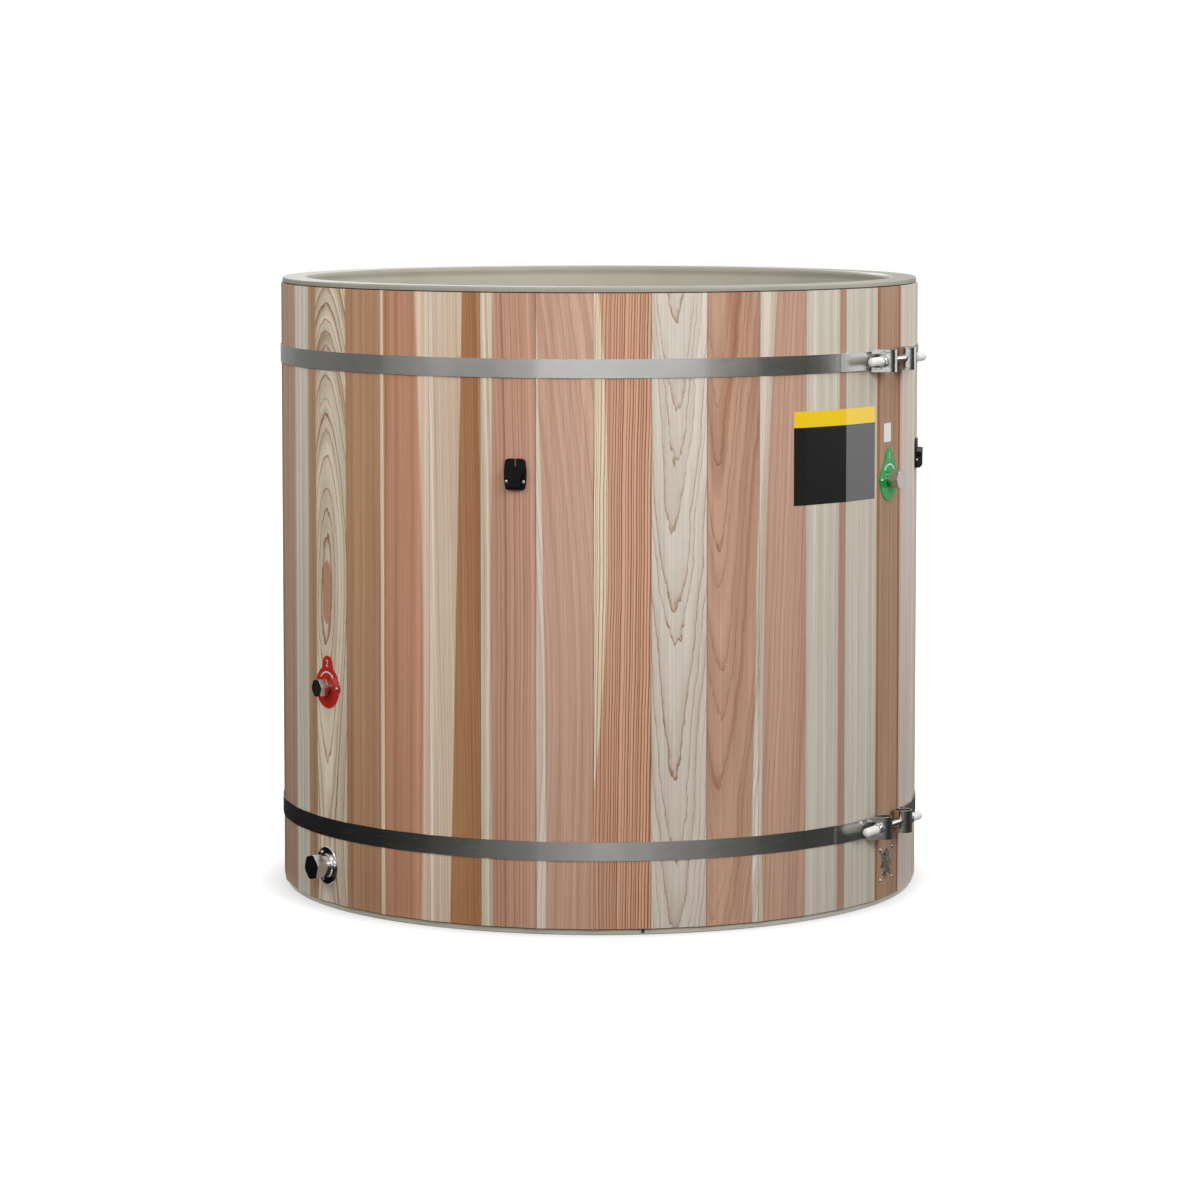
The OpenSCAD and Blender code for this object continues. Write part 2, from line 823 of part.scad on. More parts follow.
module outlet_seal() { port_seal(ports[0], pipe_end); }
module inlet_seal() { port_seal(ports[1], pipe_end); }
module drain_seal() { port_seal(ports[2], drain_end); }

// A closed hexagonal cap screwed over the pipe's end
module port_cap(p, af, len, out, turn) {
  color("gainsboro")
    on_board(p[0], p[1], p[2])
      translate([0, 0, out - len])
        difference() {
          rotate(turn)
            turned_hex(af, len, 0.5);
          translate([0, 0, -1])
            cylinder(d = p[3] + 2 * thread_fit, h = len - cap_end + 1);
        }
}

module outlet_cap() { port_cap(ports[0], cap_af, cap_len, cap_out, outlet_cap_turn); }
module inlet_cap() { port_cap(ports[1], cap_af, cap_len, cap_out, inlet_cap_turn); }
module drain_cap() { port_cap(ports[2], drain_af, drain_cap_len, drain_out, drain_cap_turn); }

module port_gaskets() {
  color("#303030")
    for (p = ports)
      at_port(p)
        translate([0, 0, -gasket_t])
          ring(p[3] / 2 + flange_w, p[3] / 2 + port_fit, gasket_t);
}

module port_locknuts() {
  color("gray")
    for (p = ports)
      at_port(p)
        translate([0, 0, wall + 2 * seat_fit + foam_fit])
          difference() {
            turned_hex(p[3] + flange_w, locknut_h);
            translate([0, 0, -1])
              cylinder(d = p[3] + 2 * thread_fit, h = locknut_h + 2);
          }
}

// The plate behind a cap: a disc with a lobe on top and an ear on each side
module port_plate(p, shade) {
  foot_y = plate_r / 2;
  foot_x = lobe_r * cos(lobe_lean) + (lobe_y + lobe_r * sin(lobe_lean) - foot_y) * tan(lobe_lean);
  color(shade)
    on_board(p[0], p[1], p[2])
      difference() {
        linear_extrude(plate_t)
          union() {
            circle(r = plate_r);
            polygon(concat(
              arc([0, lobe_y], lobe_r, lobe_lean, 180 - lobe_lean, 20),
              [[-foot_x, foot_y], [foot_x, foot_y]]
            ));
            for (q = plate_screws)
              translate(q)
                circle(r = ear_r);
          }
        translate([0, 0, -1])
          cylinder(d = p[3] + 2 * port_fit, h = plate_t + 2);
        screw_holes_at(plate_screws);
        for (q = plate_screws)
          translate([q[0], q[1], -1])
            cylinder(d = shank_d + 2 * screw_fit, h = plate_t + 2);
      }
}

module outlet_plate() { port_plate(ports[0], "#b01810"); }
module inlet_plate() { port_plate(ports[1], "#00953f"); }

// The round steel flange of the drain, with a low collar round its pipe
module drain_flange() {
  collar_w = 2.5;
  collar_h = 5;
  bore = drain_d / 2 + port_fit;
  color("silver")
    on_board(outlet_board, drain_x, drain_z)
      difference() {
        rotate_extrude()
          polygon([
            [bore, 0], [rosette_d / 2, 0], [rosette_d / 2, rosette_t - 1],
            [rosette_d / 2 - 1, rosette_t], [bore + collar_w, rosette_t],
            [bore + collar_w - 0.8, collar_h], [bore, collar_h]
          ]);
        for (q = rosette_screws)
          translate([q[0], q[1], -1])
            cylinder(d = shank_d + 2 * screw_fit, h = rosette_t + 2);
      }
}

module port_screws() {
  color("gainsboro") {
    on_board(outlet_board, outlet_x, outlet_z)
      screws_at(plate_screws, plate_t);
    on_board(inlet_board, inlet_x, inlet_z)
      screws_at(plate_screws, plate_t);
    on_board(outlet_board, drain_x, drain_z)
      screws_at(rosette_screws, rosette_t);
  }
}

// Points on an oval about a centre
function oval(c, rx, ry, n = 32) =
  [for (i = [0 : n - 1]) c + [rx * cos(i * 360 / n), ry * sin(i * 360 / n)]];

// A hollow petal of the ornament, lying along X from the middle outwards
module petal(reach, half) {
  mid = [reach / 2, 0];
  difference() {
    polygon(oval(mid, reach / 2, half));
    polygon(oval(mid, reach / 2 - vent_bar, half - vent_bar));
  }
  for (turn = [-50, 50])
    translate(mid)
      rotate(turn)
        translate([-half / 2, 0])
          square([half, vent_bar], center = true);
  translate([0, -vent_bar / 2])
    square([reach - vent_bar / 2, vent_bar]);
}

// An openwork vent: petals about a boss, with an arm out to each corner screw
module vent_grille() {
  tab_r = head_d / 2 + 1;
  short_share = 0.72;
  color("darkgray")
    on_board(inlet_board, vent_x, vent_z)
      linear_extrude(vent_t)
        difference() {
          union() {
            circle(r = vent_boss_r);
            for (side = [0, 180])
              rotate(side)
                petal(vent_w / 2, vent_h / 9);
            for (side = [90, 270])
              rotate(side)
                petal(vent_h / 2, vent_w / 4);
            for (q = vent_screw_places) {
              translate(q)
                circle(r = tab_r);
              rotate(atan2(q[1], q[0])) {
                petal(norm(q) * short_share, vent_h / 11);
                translate([0, -vent_bar / 2])
                  square([norm(q), vent_bar]);
              }
            }
          }
          for (q = vent_screw_places)
            translate(q)
              circle(d = shank_d + 2 * screw_fit);
        }
}

module vent_screws() {
  color("gainsboro")
    on_board(inlet_board, vent_x, vent_z)
      screws_at(vent_screw_places, vent_t);
}

// Sideways place of each clip on its board
function clip_x(i) = i == 0 ? front_clip_x : 0;

// A rectangle with round corners, about its middle
module rounded_rect(w, h, r) {
  square([w - 2 * r, h], center = true);
  square([w, h - 2 * r], center = true);
  for (sx = [-1, 1])
    for (sy = [-1, 1])
      translate([sx * (w / 2 - r), sy * (h / 2 - r)])
        circle(r = r);
}

// A cover clip: a waisted back plate with a slot, and a pocket that is open upwards
module cover_clip(i) {
  bulge_r = 100;
  plate_corner = 8.5;
  chin = 6;
  top_w = 31;
  low_w = 20;
  brow = 6;
  taper = 9;
  corner = 3;
  body_top = -clip_h / 2 + clip_body_h;
  pocket_w = low_w - clip_side_t + 1;
  color("#151515")
    on_board(clip_boards[i], clip_x(i), clip_z)
      difference() {
        union() {
          linear_extrude(clip_back_t)
            intersection() {
              rounded_rect(clip_w, clip_h, plate_corner);
              translate([bulge_r - clip_w / 2, 0])
                circle(r = bulge_r);
              translate([clip_w / 2 - bulge_r, 0])
                circle(r = bulge_r);
            }
          intersection() {
            linear_extrude(clip_t)
              polygon(concat(
                [[top_w / 2, body_top - brow], [top_w / 2 - corner / 2, body_top]],
                [[-top_w / 2 + corner / 2, body_top], [-top_w / 2, body_top - brow]],
                [[-low_w / 2, body_top - brow - taper], [-low_w / 2, corner - clip_h / 2]],
                [[corner - low_w / 2, -clip_h / 2], [low_w / 2 - corner, -clip_h / 2]],
                [[low_w / 2, corner - clip_h / 2], [low_w / 2, body_top - brow - taper]]
              ));
            translate([-clip_w / 2, 0, 0])
              rotate([90, 0, 90])
                linear_extrude(clip_w)
                  polygon(concat(
                    [[-clip_h / 2, 0], [body_top, 0], [body_top, clip_t]],
                    arc([chin - clip_h / 2, clip_t - chin], chin, 90, 180, 6)
                  ));
          }
        }
        translate([-pocket_w / 2, body_top - clip_pocket_h, clip_back_t])
          cube([pocket_w, clip_pocket_h + 1, clip_t - clip_back_t - clip_front_t]);
        translate([-clip_slot_w / 2, clip_h / 2 - clip_slot_h, -1])
          cube([clip_slot_w, clip_slot_h + 1, clip_back_t + 2]);
        for (q = clip_screw_places)
          translate([q[0], q[1], -1])
            cylinder(d = shank_d + 2 * screw_fit, h = clip_back_t + 2);
      }
}

module front_clip() { cover_clip(0); }
module right_clip() { cover_clip(1); }
module back_clip() { cover_clip(2); }
module left_clip() { cover_clip(3); }

module clip_screws() {
  color("gainsboro")
    for (i = [0 : len(clip_boards) - 1])
      on_board(clip_boards[i], clip_x(i), clip_z)
        screws_at(clip_screw_places, clip_back_t);
}

// A slotted cup pushed over the outlet's flange inside the bath
module suction_strainer() {
  p = ports[0];
  inner = p[3] / 2 + flange_w + seat_fit;
  bridge = 2;
  slot_from = strainer_slots * (slot_w + bridge) / (2 * PI);
  slot_to = inner - fitting_wall;
  color("ivory")
    at_port(p)
      difference() {
        translate([0, 0, -strainer_h])
          cylinder(r = inner + fitting_wall, h = strainer_h - gasket_t);
        translate([0, 0, -strainer_h + fitting_wall])
          cylinder(r = inner, h = strainer_h);
        for (i = [0 : strainer_slots - 1])
          rotate([0, 0, i * 360 / strainer_slots])
            translate([slot_from, -slot_w / 2, -strainer_h - 1])
              cube([slot_to - slot_from, slot_w, fitting_wall + 2]);
      }
}

// A short nozzle pushed into the inlet's bore from the bath side
module return_nozzle() {
  p = ports[1];
  face = gasket_t + flange_t + seat_fit;
  color("ivory")
    at_port(p)
      rotate_extrude()
        polygon([
          [nozzle_d / 2, -face - nozzle_l],
          [nozzle_d / 2 + fitting_wall, -face - nozzle_l],
          [p[3] / 2 + flange_w - 1, -face - fitting_wall],
          [p[3] / 2 + flange_w - 1, -face],
          [p[4] / 2 - thread_fit, -face],
          [p[4] / 2 - thread_fit, -face + spigot_l],
          [nozzle_d / 2, -face + spigot_l]
        ]);
}

// A perforated disc with a spigot that plugs into the drain's bore
module drain_grate() {
  p = ports[2];
  face = gasket_t + flange_t + seat_fit;
  spigot_r = p[4] / 2 - thread_fit;
  hole_at = (spigot_r - fitting_wall) * 0.62;
  color("silver")
    at_port(p)
      difference() {
        union() {
          translate([0, 0, -face - fitting_wall])
            cylinder(r = p[3] / 2 + flange_w / 2, h = fitting_wall);
          translate([0, 0, -face])
            cylinder(r = spigot_r, h = spigot_l);
        }
        translate([0, 0, -face])
          cylinder(r = spigot_r - fitting_wall, h = spigot_l + 1);
        for (i = [0 : grate_holes - 1])
          rotate([0, 0, i * 360 / grate_holes])
            translate([hole_at, 0, -face - fitting_wall - 1])
              cylinder(d = grate_hole_d, h = fitting_wall + 2);
      }
}

liner();
foam_jacket();
base_pan();
weep_plug();
outlet_stave();
inlet_stave();
staves_back_left();
staves_left_rear();
staves_left();
staves_front_left();
staves_front();
staves_front_right();
staves_right();
staves_right_rear();
staves_back_right();
upper_hoop();
lower_hoop();
upper_lug_left();
upper_lug_right();
lower_lug_left();
lower_lug_right();
upper_rod();
lower_rod();
upper_washer_left();
upper_washer_right();
lower_washer_left();
lower_washer_right();
upper_nut_left();
upper_nut_right();
lower_nut_left();
lower_nut_right();
upper_end_cap_left();
upper_end_cap_right();
lower_end_cap_left();
lower_end_cap_right();
outlet_pipe();
outlet_plate();
outlet_seal();
outlet_cap();
inlet_pipe();
inlet_plate();
inlet_seal();
inlet_cap();
drain_pipe();
drain_flange();
drain_seal();
drain_cap();
port_gaskets();
port_locknuts();
suction_strainer();
return_nozzle();
drain_grate();
port_screws();
vent_grille();
vent_screws();
front_clip();
right_clip();
back_clip();
left_clip();
clip_screws();
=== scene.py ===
# %% [markdown]
# A barrel plunge tub, dressed for a studio picture
#
# The tub is a moulded bath inside a ring of 37 upright cedar boards. Two steel hoops draw the
# boards together. The solid parts come from the construction model as a fixed frame, so
# everything here is made in metres, in its place on that frame.

# %% Load the frame
import math
import random
from functools import partial

import bmesh
import bpy
from mathutils import Matrix, Vector


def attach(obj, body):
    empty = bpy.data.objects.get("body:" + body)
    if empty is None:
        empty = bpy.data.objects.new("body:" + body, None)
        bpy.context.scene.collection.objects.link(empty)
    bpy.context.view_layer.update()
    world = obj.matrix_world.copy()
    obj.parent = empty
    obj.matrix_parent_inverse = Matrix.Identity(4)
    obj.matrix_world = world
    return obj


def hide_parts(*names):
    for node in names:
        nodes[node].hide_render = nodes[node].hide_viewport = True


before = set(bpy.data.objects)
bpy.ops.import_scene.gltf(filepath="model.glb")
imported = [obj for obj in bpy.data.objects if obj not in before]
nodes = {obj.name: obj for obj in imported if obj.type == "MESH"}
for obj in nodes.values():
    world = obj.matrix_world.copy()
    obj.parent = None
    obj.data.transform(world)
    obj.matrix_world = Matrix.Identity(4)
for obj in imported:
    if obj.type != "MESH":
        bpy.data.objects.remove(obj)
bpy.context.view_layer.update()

# %% [markdown]
# Colours and nodes
#
# Paint charts and picture editors give colours as sRGB hex values, but a shader works in
# linear light, so one function turns hex to linear. A second small function adds any shader
# node with its settings and its links. Every finish below is written with these two, and with
# short ones that link and bump it.

# %% Helpers for finishes
def linear(code, alpha=1.0):
    """An sRGB hex colour such as "#d8cdbb" as linear light."""
    parts = [int(code[i:i + 2], 16) / 255 for i in (1, 3, 5)]
    return [p / 12.92 if p <= 0.04045 else ((p + 0.055) / 1.055) ** 2.4 for p in parts] + [alpha]


def add(tree, kind, sockets=None, stops=None, **settings):
    """Adds one shader node. Sockets take a value or another node's output."""
    made = tree.nodes.new("ShaderNode" + kind)
    for name, value in settings.items():
        setattr(made, name, value)
    for name, value in (sockets or {}).items():
        if isinstance(value, bpy.types.NodeSocket):
            tree.links.new(value, made.inputs[name])
        else:
            made.inputs[name].default_value = value
    if stops:
        ramp = made.color_ramp.elements
        while len(ramp) < len(stops):
            ramp.new(0.5)
        for element, (place, value) in zip(ramp, stops):
            element.position = place
            element.color = linear(value) if isinstance(value, str) else [value] * 3 + [1]
    return made


def signal(*what, **settings):
    """Adds one shader node and gives its first output."""
    return add(*what, **settings).outputs[0]


def finish(name, **uniform):
    """A new finish with one Principled shader; uniform values and hex colours go on its sockets."""
    made = bpy.data.materials.new(name)
    made.use_nodes = True
    shader = made.node_tree.nodes["Principled BSDF"]
    for socket, value in uniform.items():
        if isinstance(value, str):
            value = linear(value)
        shader.inputs[socket.replace("_", " ")].default_value = value
    return made, made.node_tree, shader


def feed(tree, shader, **outputs):
    """Links outputs to a shader's sockets."""
    for socket, output in outputs.items():
        tree.links.new(output, shader.inputs[socket.replace("_", " ")])


def emboss(tree, shader, height, strength, distance, rounded=None):
    """Bumps a finish by a height and, if asked, rounds the shading of its edges."""
    bump = add(tree, "Bump", {"Height": height, "Strength": strength, "Distance": distance})
    if rounded:
        eased = add(tree, "Bevel", {"Radius": rounded}, samples=4)
        tree.links.new(eased.outputs[0], bump.inputs["Normal"])
    feed(tree, shader, Normal=bump.outputs[0])


def dress(material, *names):
    """Gives construction nodes a finish by their material slots."""
    for name in names:
        piece = nodes[name]
        if not piece.material_slots:
            piece.data.materials.append(material)
        for slot in piece.material_slots:
            slot.material = material


print("helpers ready")

# %% [markdown]
# Making pieces
#
# A piece starts as a bmesh, is shaped at the middle of the world where sizes are easy to
# think about, and is then carried to its board. The move is done on the mesh itself, so the
# object stays at the origin, unturned and unscaled.

# %% Helpers for pieces
BOARDS = 37
EVERY_BOARD = range(-(BOARDS // 2), BOARDS // 2 + 1)
PITCH = 360 / BOARDS  # degrees from one board to the next
FIRST = 3.87  # bearing of board zero, the front one
CORNER_R = 0.540  # radius over the boards' corners
FACE_R = CORNER_R * math.cos(math.radians(PITCH / 2))

# Places on the boards: which board, how far across it and how high.
OUTLET, INLET = (-6, -0.011, 0.367), (6, -0.002, 0.7045)
DRAIN, VENT = (-6, -0.015, 0.071), (6, -0.006, 0.0665)
CLAMP_BOARD = 6


HERE = Matrix.Identity(4)  # leaves a piece where it was made


def turned(board):
    """The turn that carries the front board's place to another board's place."""
    return Matrix.Rotation(math.radians(FIRST + PITCH * board), 4, "Z")


def on_face(board, across, height, out=0.0):
    """A place on a board's face: X across it, Y up, Z out of the wood."""
    upright = Matrix.Rotation(math.radians(90), 4, "X")
    return turned(board) @ Matrix.Translation((across, -FACE_R - out, height)) @ upright


def piece(name, bm, place, body, *materials, smooth=None):
    """Turns a bmesh into a finished object that rides on a body."""
    bmesh.ops.transform(bm, matrix=place, verts=bm.verts)
    bmesh.ops.recalc_face_normals(bm, faces=bm.faces)
    mesh = bpy.data.meshes.new(name)
    bm.to_mesh(mesh)
    bm.free()
    for material in materials:
        mesh.materials.append(material)
    made = bpy.data.objects.new(name, mesh)
    bpy.context.collection.objects.link(made)
    if smooth is not None:
        with bpy.context.temp_override(object=made, active_object=made, selected_editable_objects=[made]):
            bpy.ops.object.shade_smooth_by_angle(angle=math.radians(smooth))
    if body:
        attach(made, body)
    return made


def carved(bm, *tools):
    """Cuts shapes out of a shape with exact Booleans and gives the result as a bmesh."""
    made = piece("carving", bm, HERE, None)
    for tool in tools:
        cutter = piece("cutter", tool, HERE, None)
        cut = made.modifiers.new("cut", "BOOLEAN")
        cut.object, cut.solver, cut.operation = cutter, "EXACT", "DIFFERENCE"
        with bpy.context.temp_override(object=made, active_object=made):
            bpy.ops.object.modifier_apply(modifier="cut")
        bpy.data.objects.remove(cutter)
    done = bmesh.new()
    done.from_mesh(made.data)
    bpy.data.objects.remove(made)
    return done


def rod_shape(radius, low, high, segments=48, place=HERE):
    """A round bar along Z from a low end to a high end."""
    bm = bmesh.new()
    middle = Matrix.Translation((0, 0, (low + high) / 2))
    bmesh.ops.create_cone(bm, cap_ends=True, segments=segments, radius1=radius, radius2=radius,
                          depth=high - low, matrix=place @ middle)
    return bm


def thicken(bm, faces, thickness):
    """Makes flat faces thick along Z."""
    grown = bmesh.ops.extrude_face_region(bm, geom=faces)
    bmesh.ops.translate(bm, vec=(0, 0, thickness),
                        verts=[v for v in grown["geom"] if isinstance(v, bmesh.types.BMVert)])


def slab(outline, thickness):
    """A flat shape in XY made thick along Z."""
    bm = bmesh.new()
    thicken(bm, [bm.faces.new([bm.verts.new((x, y, 0)) for x, y in outline])], thickness)
    bmesh.ops.recalc_face_normals(bm, faces=bm.faces)
    return bm


def skin(bm, rows):
    """Joins rows of points into a bar and closes its ends."""
    for a, b in zip(rows, rows[1:]):
        for side in range(len(a)):
            nxt = (side + 1) % len(a)
            bm.faces.new([a[side], b[side], b[nxt], a[nxt]])
    bm.faces.new(rows[0])
    bm.faces.new(reversed(rows[-1]))


def ease(bm, edges, offset, segments):
    """Rounds some edges."""
    bmesh.ops.bevel(bm, geom=edges, offset=offset, offset_type="OFFSET", segments=segments,
                    profile=0.5, affect="EDGES", material=-1)


print("face radius", round(FACE_R * 1000, 2), "mm")

# %% [markdown]
# The camera
#
# The tub was photographed from about seven metres with a long lens, a little above the rim,
# so the rim shows as a thin ellipse and the boards stay almost upright. The camera is tilted
# down slightly and the rest of the drop comes from a small lens shift.

# %% Camera
camera = bpy.data.objects.new("camera", bpy.data.cameras.new("camera"))
bpy.context.collection.objects.link(camera)
camera.location = (0.0011, -6.995, 1.2701)
camera.rotation_euler = (math.radians(90 - 4.805), 0, 0)
camera.data.lens = 123.43
camera.data.sensor_width = 36
camera.data.shift_y = -0.10
bpy.context.scene.camera = camera
bpy.context.scene.view_settings.view_transform = "Standard"
print("camera", [round(v, 3) for v in camera.location])

# %% [markdown]
# The studio
#
# Wood needs soft, even light. Steel needs something to mirror: a product photographer stands
# white and dark cards round polished metal and leaves a bright gap towards the front. The
# cards here are rings: one stands, one is a low skirting below it, and one lies on the floor,
# because the lower hoop mirrors the floor. All are seen only by reflections. The floor and the
# background are white by their own colour, and the floor still takes the tub's shadow. In a
# narrow ring round the tub's foot the floor's glow is dimmed: painted shade.

# %% World and floor
def seen_directly(tree):
    """1 for camera, mirror and glass rays, 0 for the light that only fills the room."""
    path = add(tree, "LightPath").outputs
    pair = signal(tree, "Math", {0: path["Is Camera Ray"], 1: path["Is Glossy Ray"]},
                  operation="MAXIMUM")
    return signal(tree, "Math", {0: pair, 1: path["Is Transmission Ray"]},
                  operation="MAXIMUM")


world = bpy.data.worlds.new("studio")
bpy.context.scene.world = world
world.use_nodes = True
tree = world.node_tree
tree.nodes.clear()
level = add(tree, "MapRange", {"Value": seen_directly(tree), "To Min": 0.44, "To Max": 1.0})
sky = add(tree, "Background", {"Color": (1, 1, 1, 1), "Strength": level.outputs[0]})
add(tree, "OutputWorld", {"Surface": sky.outputs[0]})

floor_white, tree, shader = finish("studio_floor_white_with_painted_shade", Roughness=0.9, Base_Color="#9c9c9c",
                                   Specular_IOR_Level=0, Emission_Color=(1, 1, 1, 1))
spot = add(tree, "TexCoord").outputs["Object"]
from_tub = add(tree, "VectorMath", {0: spot}, operation="LENGTH").outputs["Value"]
# Painted shade round the base: the glow is dimmed next to the tub's foot and rises to full white 0.62
# metres from the axis.
floor_glow_with_painted_shade = add(tree, "MapRange", {"Value": from_tub, "From Min": 0.54, "From Max": 0.62,
                              "To Min": 0.6, "To Max": 1.0})
floor_glow_with_painted_shade = add(tree, "Math", {0: floor_glow_with_painted_shade.outputs[0], 1: seen_directly(tree)}, operation="MULTIPLY")
feed(tree, shader, Emission_Strength=floor_glow_with_painted_shade.outputs[0])
bm = bmesh.new()
bmesh.ops.create_grid(bm, x_segments=2, y_segments=2, size=30)
floor = piece("studio_floor", bm, HERE, None, floor_white)
print("floor at", 0.0)


# %% Lamps
def lamp(name, place, size, watts, aim=(0, 0, 0.6)):
    """A soft box at a place, turned so that it shines at another."""
    light = bpy.data.lights.new(name, "AREA")
    light.shape = "RECTANGLE"
    light.size, light.size_y = size
    light.energy = watts
    made = bpy.data.objects.new(name, light)
    made.location = place
    made.rotation_euler = (Vector(place) - Vector(aim)).to_track_quat("Z", "Y").to_euler()
    bpy.context.collection.objects.link(made)
    return made


lamp("key_softbox", (4.0, -4.6, 3.4), (2.6, 2.6), 180)
lamp("front_softbox", (-1.0, -7.0, 3.4), (3.0, 2.0), 86)
lamp("left_softbox", (-4.2, -2.6, 3.2), (2.0, 2.0), 64, (-0.4, -0.2, 0.9))
lamp("top_softbox", (1.8, 0.4, 3.8), (2.4, 2.4), 46)
lamp("back_softbox", (-1.5, 6.5, 3.2), (3.0, 2.0), 80)
print("lamps", len(bpy.data.lights))

# %% Rings of grey cards
# Each pair is a bearing seen from the tub and the grey that stands there; greys blend between.
# Standing: a bright gap in front, grey flats to the left, a dark flag and then a white card to
# the right. Lying: bright floor in front that falls to dark at the sides.
CARD_R, SKIRT_TOP, CARD_TOP = 5.0, 0.48, 2.4
STANDING = [(-180, 190), (-140, 140), (-85, 115), (-60, 185), (-30, 180), (-15, 250), (25, 240),
            (50, 80), (75, 60), (87, 90), (90, 255), (120, 250), (135, 130), (180, 190)]
SKIRTING = [(-180, 150), (-90, 90), (0, 170), (50, 80), (90, 70), (98, 235), (124, 235),
            (130, 70), (180, 150)]
LYING = [(-180, 60), (-90, 15), (-60, 15), (0, 175), (60, 50), (100, 80), (180, 60)]


def grey_at(table, bearing):
    """The grey of a table at a bearing, as linear light."""
    for (a, low), (b, high) in zip(table, table[1:]):
        if a <= bearing <= b:
            grey = (low + (high - low) * (bearing - a) / (b - a)) / 255
            return grey / 12.92 if grey <= 0.04045 else ((grey + 0.055) / 1.055) ** 2.4


def card_ring(name, table, low, high):
    """A ring of cards between two edges, each a radius and a height; only reflections see it."""
    material, tree, shader = finish(name, Roughness=1.0, Base_Color=(0, 0, 0, 1),
                                    Specular_IOR_Level=0, Emission_Strength=1.0)
    feed(tree, shader, Emission_Color=add(tree, "Attribute", attribute_name="grey").outputs["Color"])
    bm = bmesh.new()
    grey = bm.verts.layers.float_color.new("grey")
    rows = []
    for radius, height in (low, high):
        row = []
        for step in range(361):
            bearing = -180 + step
            turn = math.radians(bearing)
            point = bm.verts.new((radius * math.sin(turn), -radius * math.cos(turn), height))
            point[grey] = [grey_at(table, bearing)] * 3 + [1]
            row.append(point)
        rows.append(row)
    for step in range(360):
        bm.faces.new([rows[0][step], rows[0][step + 1], rows[1][step + 1], rows[1][step]])
    made = piece(name, bm, HERE, None, material)
    for way in ("camera", "diffuse", "shadow", "transmission", "volume_scatter"):
        setattr(made, "visible_" + way, False)
    return made


card_ring("standing_cards", STANDING, (CARD_R, SKIRT_TOP), (CARD_R, CARD_TOP))
card_ring("skirting_cards", SKIRTING, (CARD_R, 0.0), (CARD_R, SKIRT_TOP))
card_ring("lying_cards", LYING, (0.56, 0.003), (CARD_R, 0.003))
print("cards stand and lie round the tub")

# %% [markdown]
# Cedar boards
#
# Each board is a straight plank with mitred edges and a rounded arris, tongued on one side
# and grooved on the other. Only the flat face shows, so it needs real wood figure. A board is
# cut from a log, and what shows on its face is a slice through the log's yearly rings. So each
# board carries in its mesh where its log's middle lay, how wide the rings were, and which
# parts are pale sapwood. One finish then reads those values and works out the rings in three
# dimensions, which makes straight stripes on some boards and pointed arches on others.

# %% One board's shape
BOARD_LOW, BOARD_LONG, BOARD_THICK = 0.0105, 1.0105, 0.024
BACK_R = FACE_R - BOARD_THICK
TONGUE = (0.0035, 0.0025, 0.006)  # half its root, half its tip, its length
GROOVE = (0.0039, 0.0029, 0.0064)
ARRIS, END_ARRIS = 0.0016, 0.0005  # how far the front and end edges are eased


def seam(half, out, square):
    """A point by the joint at a half angle: out along the joint, then square to it."""
    c, s = math.cos(math.radians(half)), math.sin(math.radians(half))
    return (out * s + square * c, -out * c + square * s)


def board_shape():
    """The board at bearing zero, standing on its seat, with rounded front edges."""
    half, gap = PITCH / 2, 0.0001
    heel = BACK_R / math.cos(math.radians(half))
    middle = (CORNER_R + heel) / 2
    root, tip, length = TONGUE
    outline = [seam(half, CORNER_R, -gap)]
    outline += [seam(half, middle + root, -gap), seam(half, middle + tip, length)]
    outline += [seam(half, middle - tip, length), seam(half, middle - root, -gap)]
    outline += [seam(half, heel, -gap), seam(-half, heel, gap)]
    root, tip, length = GROOVE
    outline += [seam(-half, middle - root, gap), seam(-half, middle - tip, length)]
    outline += [seam(-half, middle + tip, length), seam(-half, middle + root, gap)]
    outline += [seam(-half, CORNER_R, gap)]
    bm = slab(outline, BOARD_LONG)
    bmesh.ops.translate(bm, vec=(0, 0, BOARD_LOW), verts=bm.verts)
    front = [e for e in bm.edges if all(v.co.y < -FACE_R + 0.0005 for v in e.verts)
             and abs(e.verts[0].co.z - e.verts[1].co.z) > 0.5]
    ease(bm, front, ARRIS, 4)
    ends = [e for e in bm.edges if all(v.co.y < -FACE_R + 0.004 for v in e.verts)
            and abs(e.verts[0].co.z - e.verts[1].co.z) < 0.001]
    ease(bm, ends, END_ARRIS, 2)
    return bm


test = board_shape()
print("board:", len(test.verts), "points,", len(test.faces), "faces")
test.free()

# %% [markdown]
# What each board looks like
#
# The front boards follow the photograph board by board: pink, tan and brown heartwood with
# strips of cream sapwood. Each board's colours were scaled until the whole board renders, on
# average, as it looks there. Lengths are millimetres and slopes are millimetres in a metre.
#
# - pith: where the log's middle lies, across the board and behind its face
# - ring, mark: width of a yearly ring, and how dark its autumn line is
# - climb, arch: how far the rings slope, and how they bow about a height
# - wander, streak: how far the grain wanders, and how uneven its colour is
# - left, right: a strip of another wood: its edge at mid height, the edge's slope and bend,
#   how soft the edge is, and the strip's colour
# - core: a long darker knot shadow: its middle across and up, half its width, and its colour

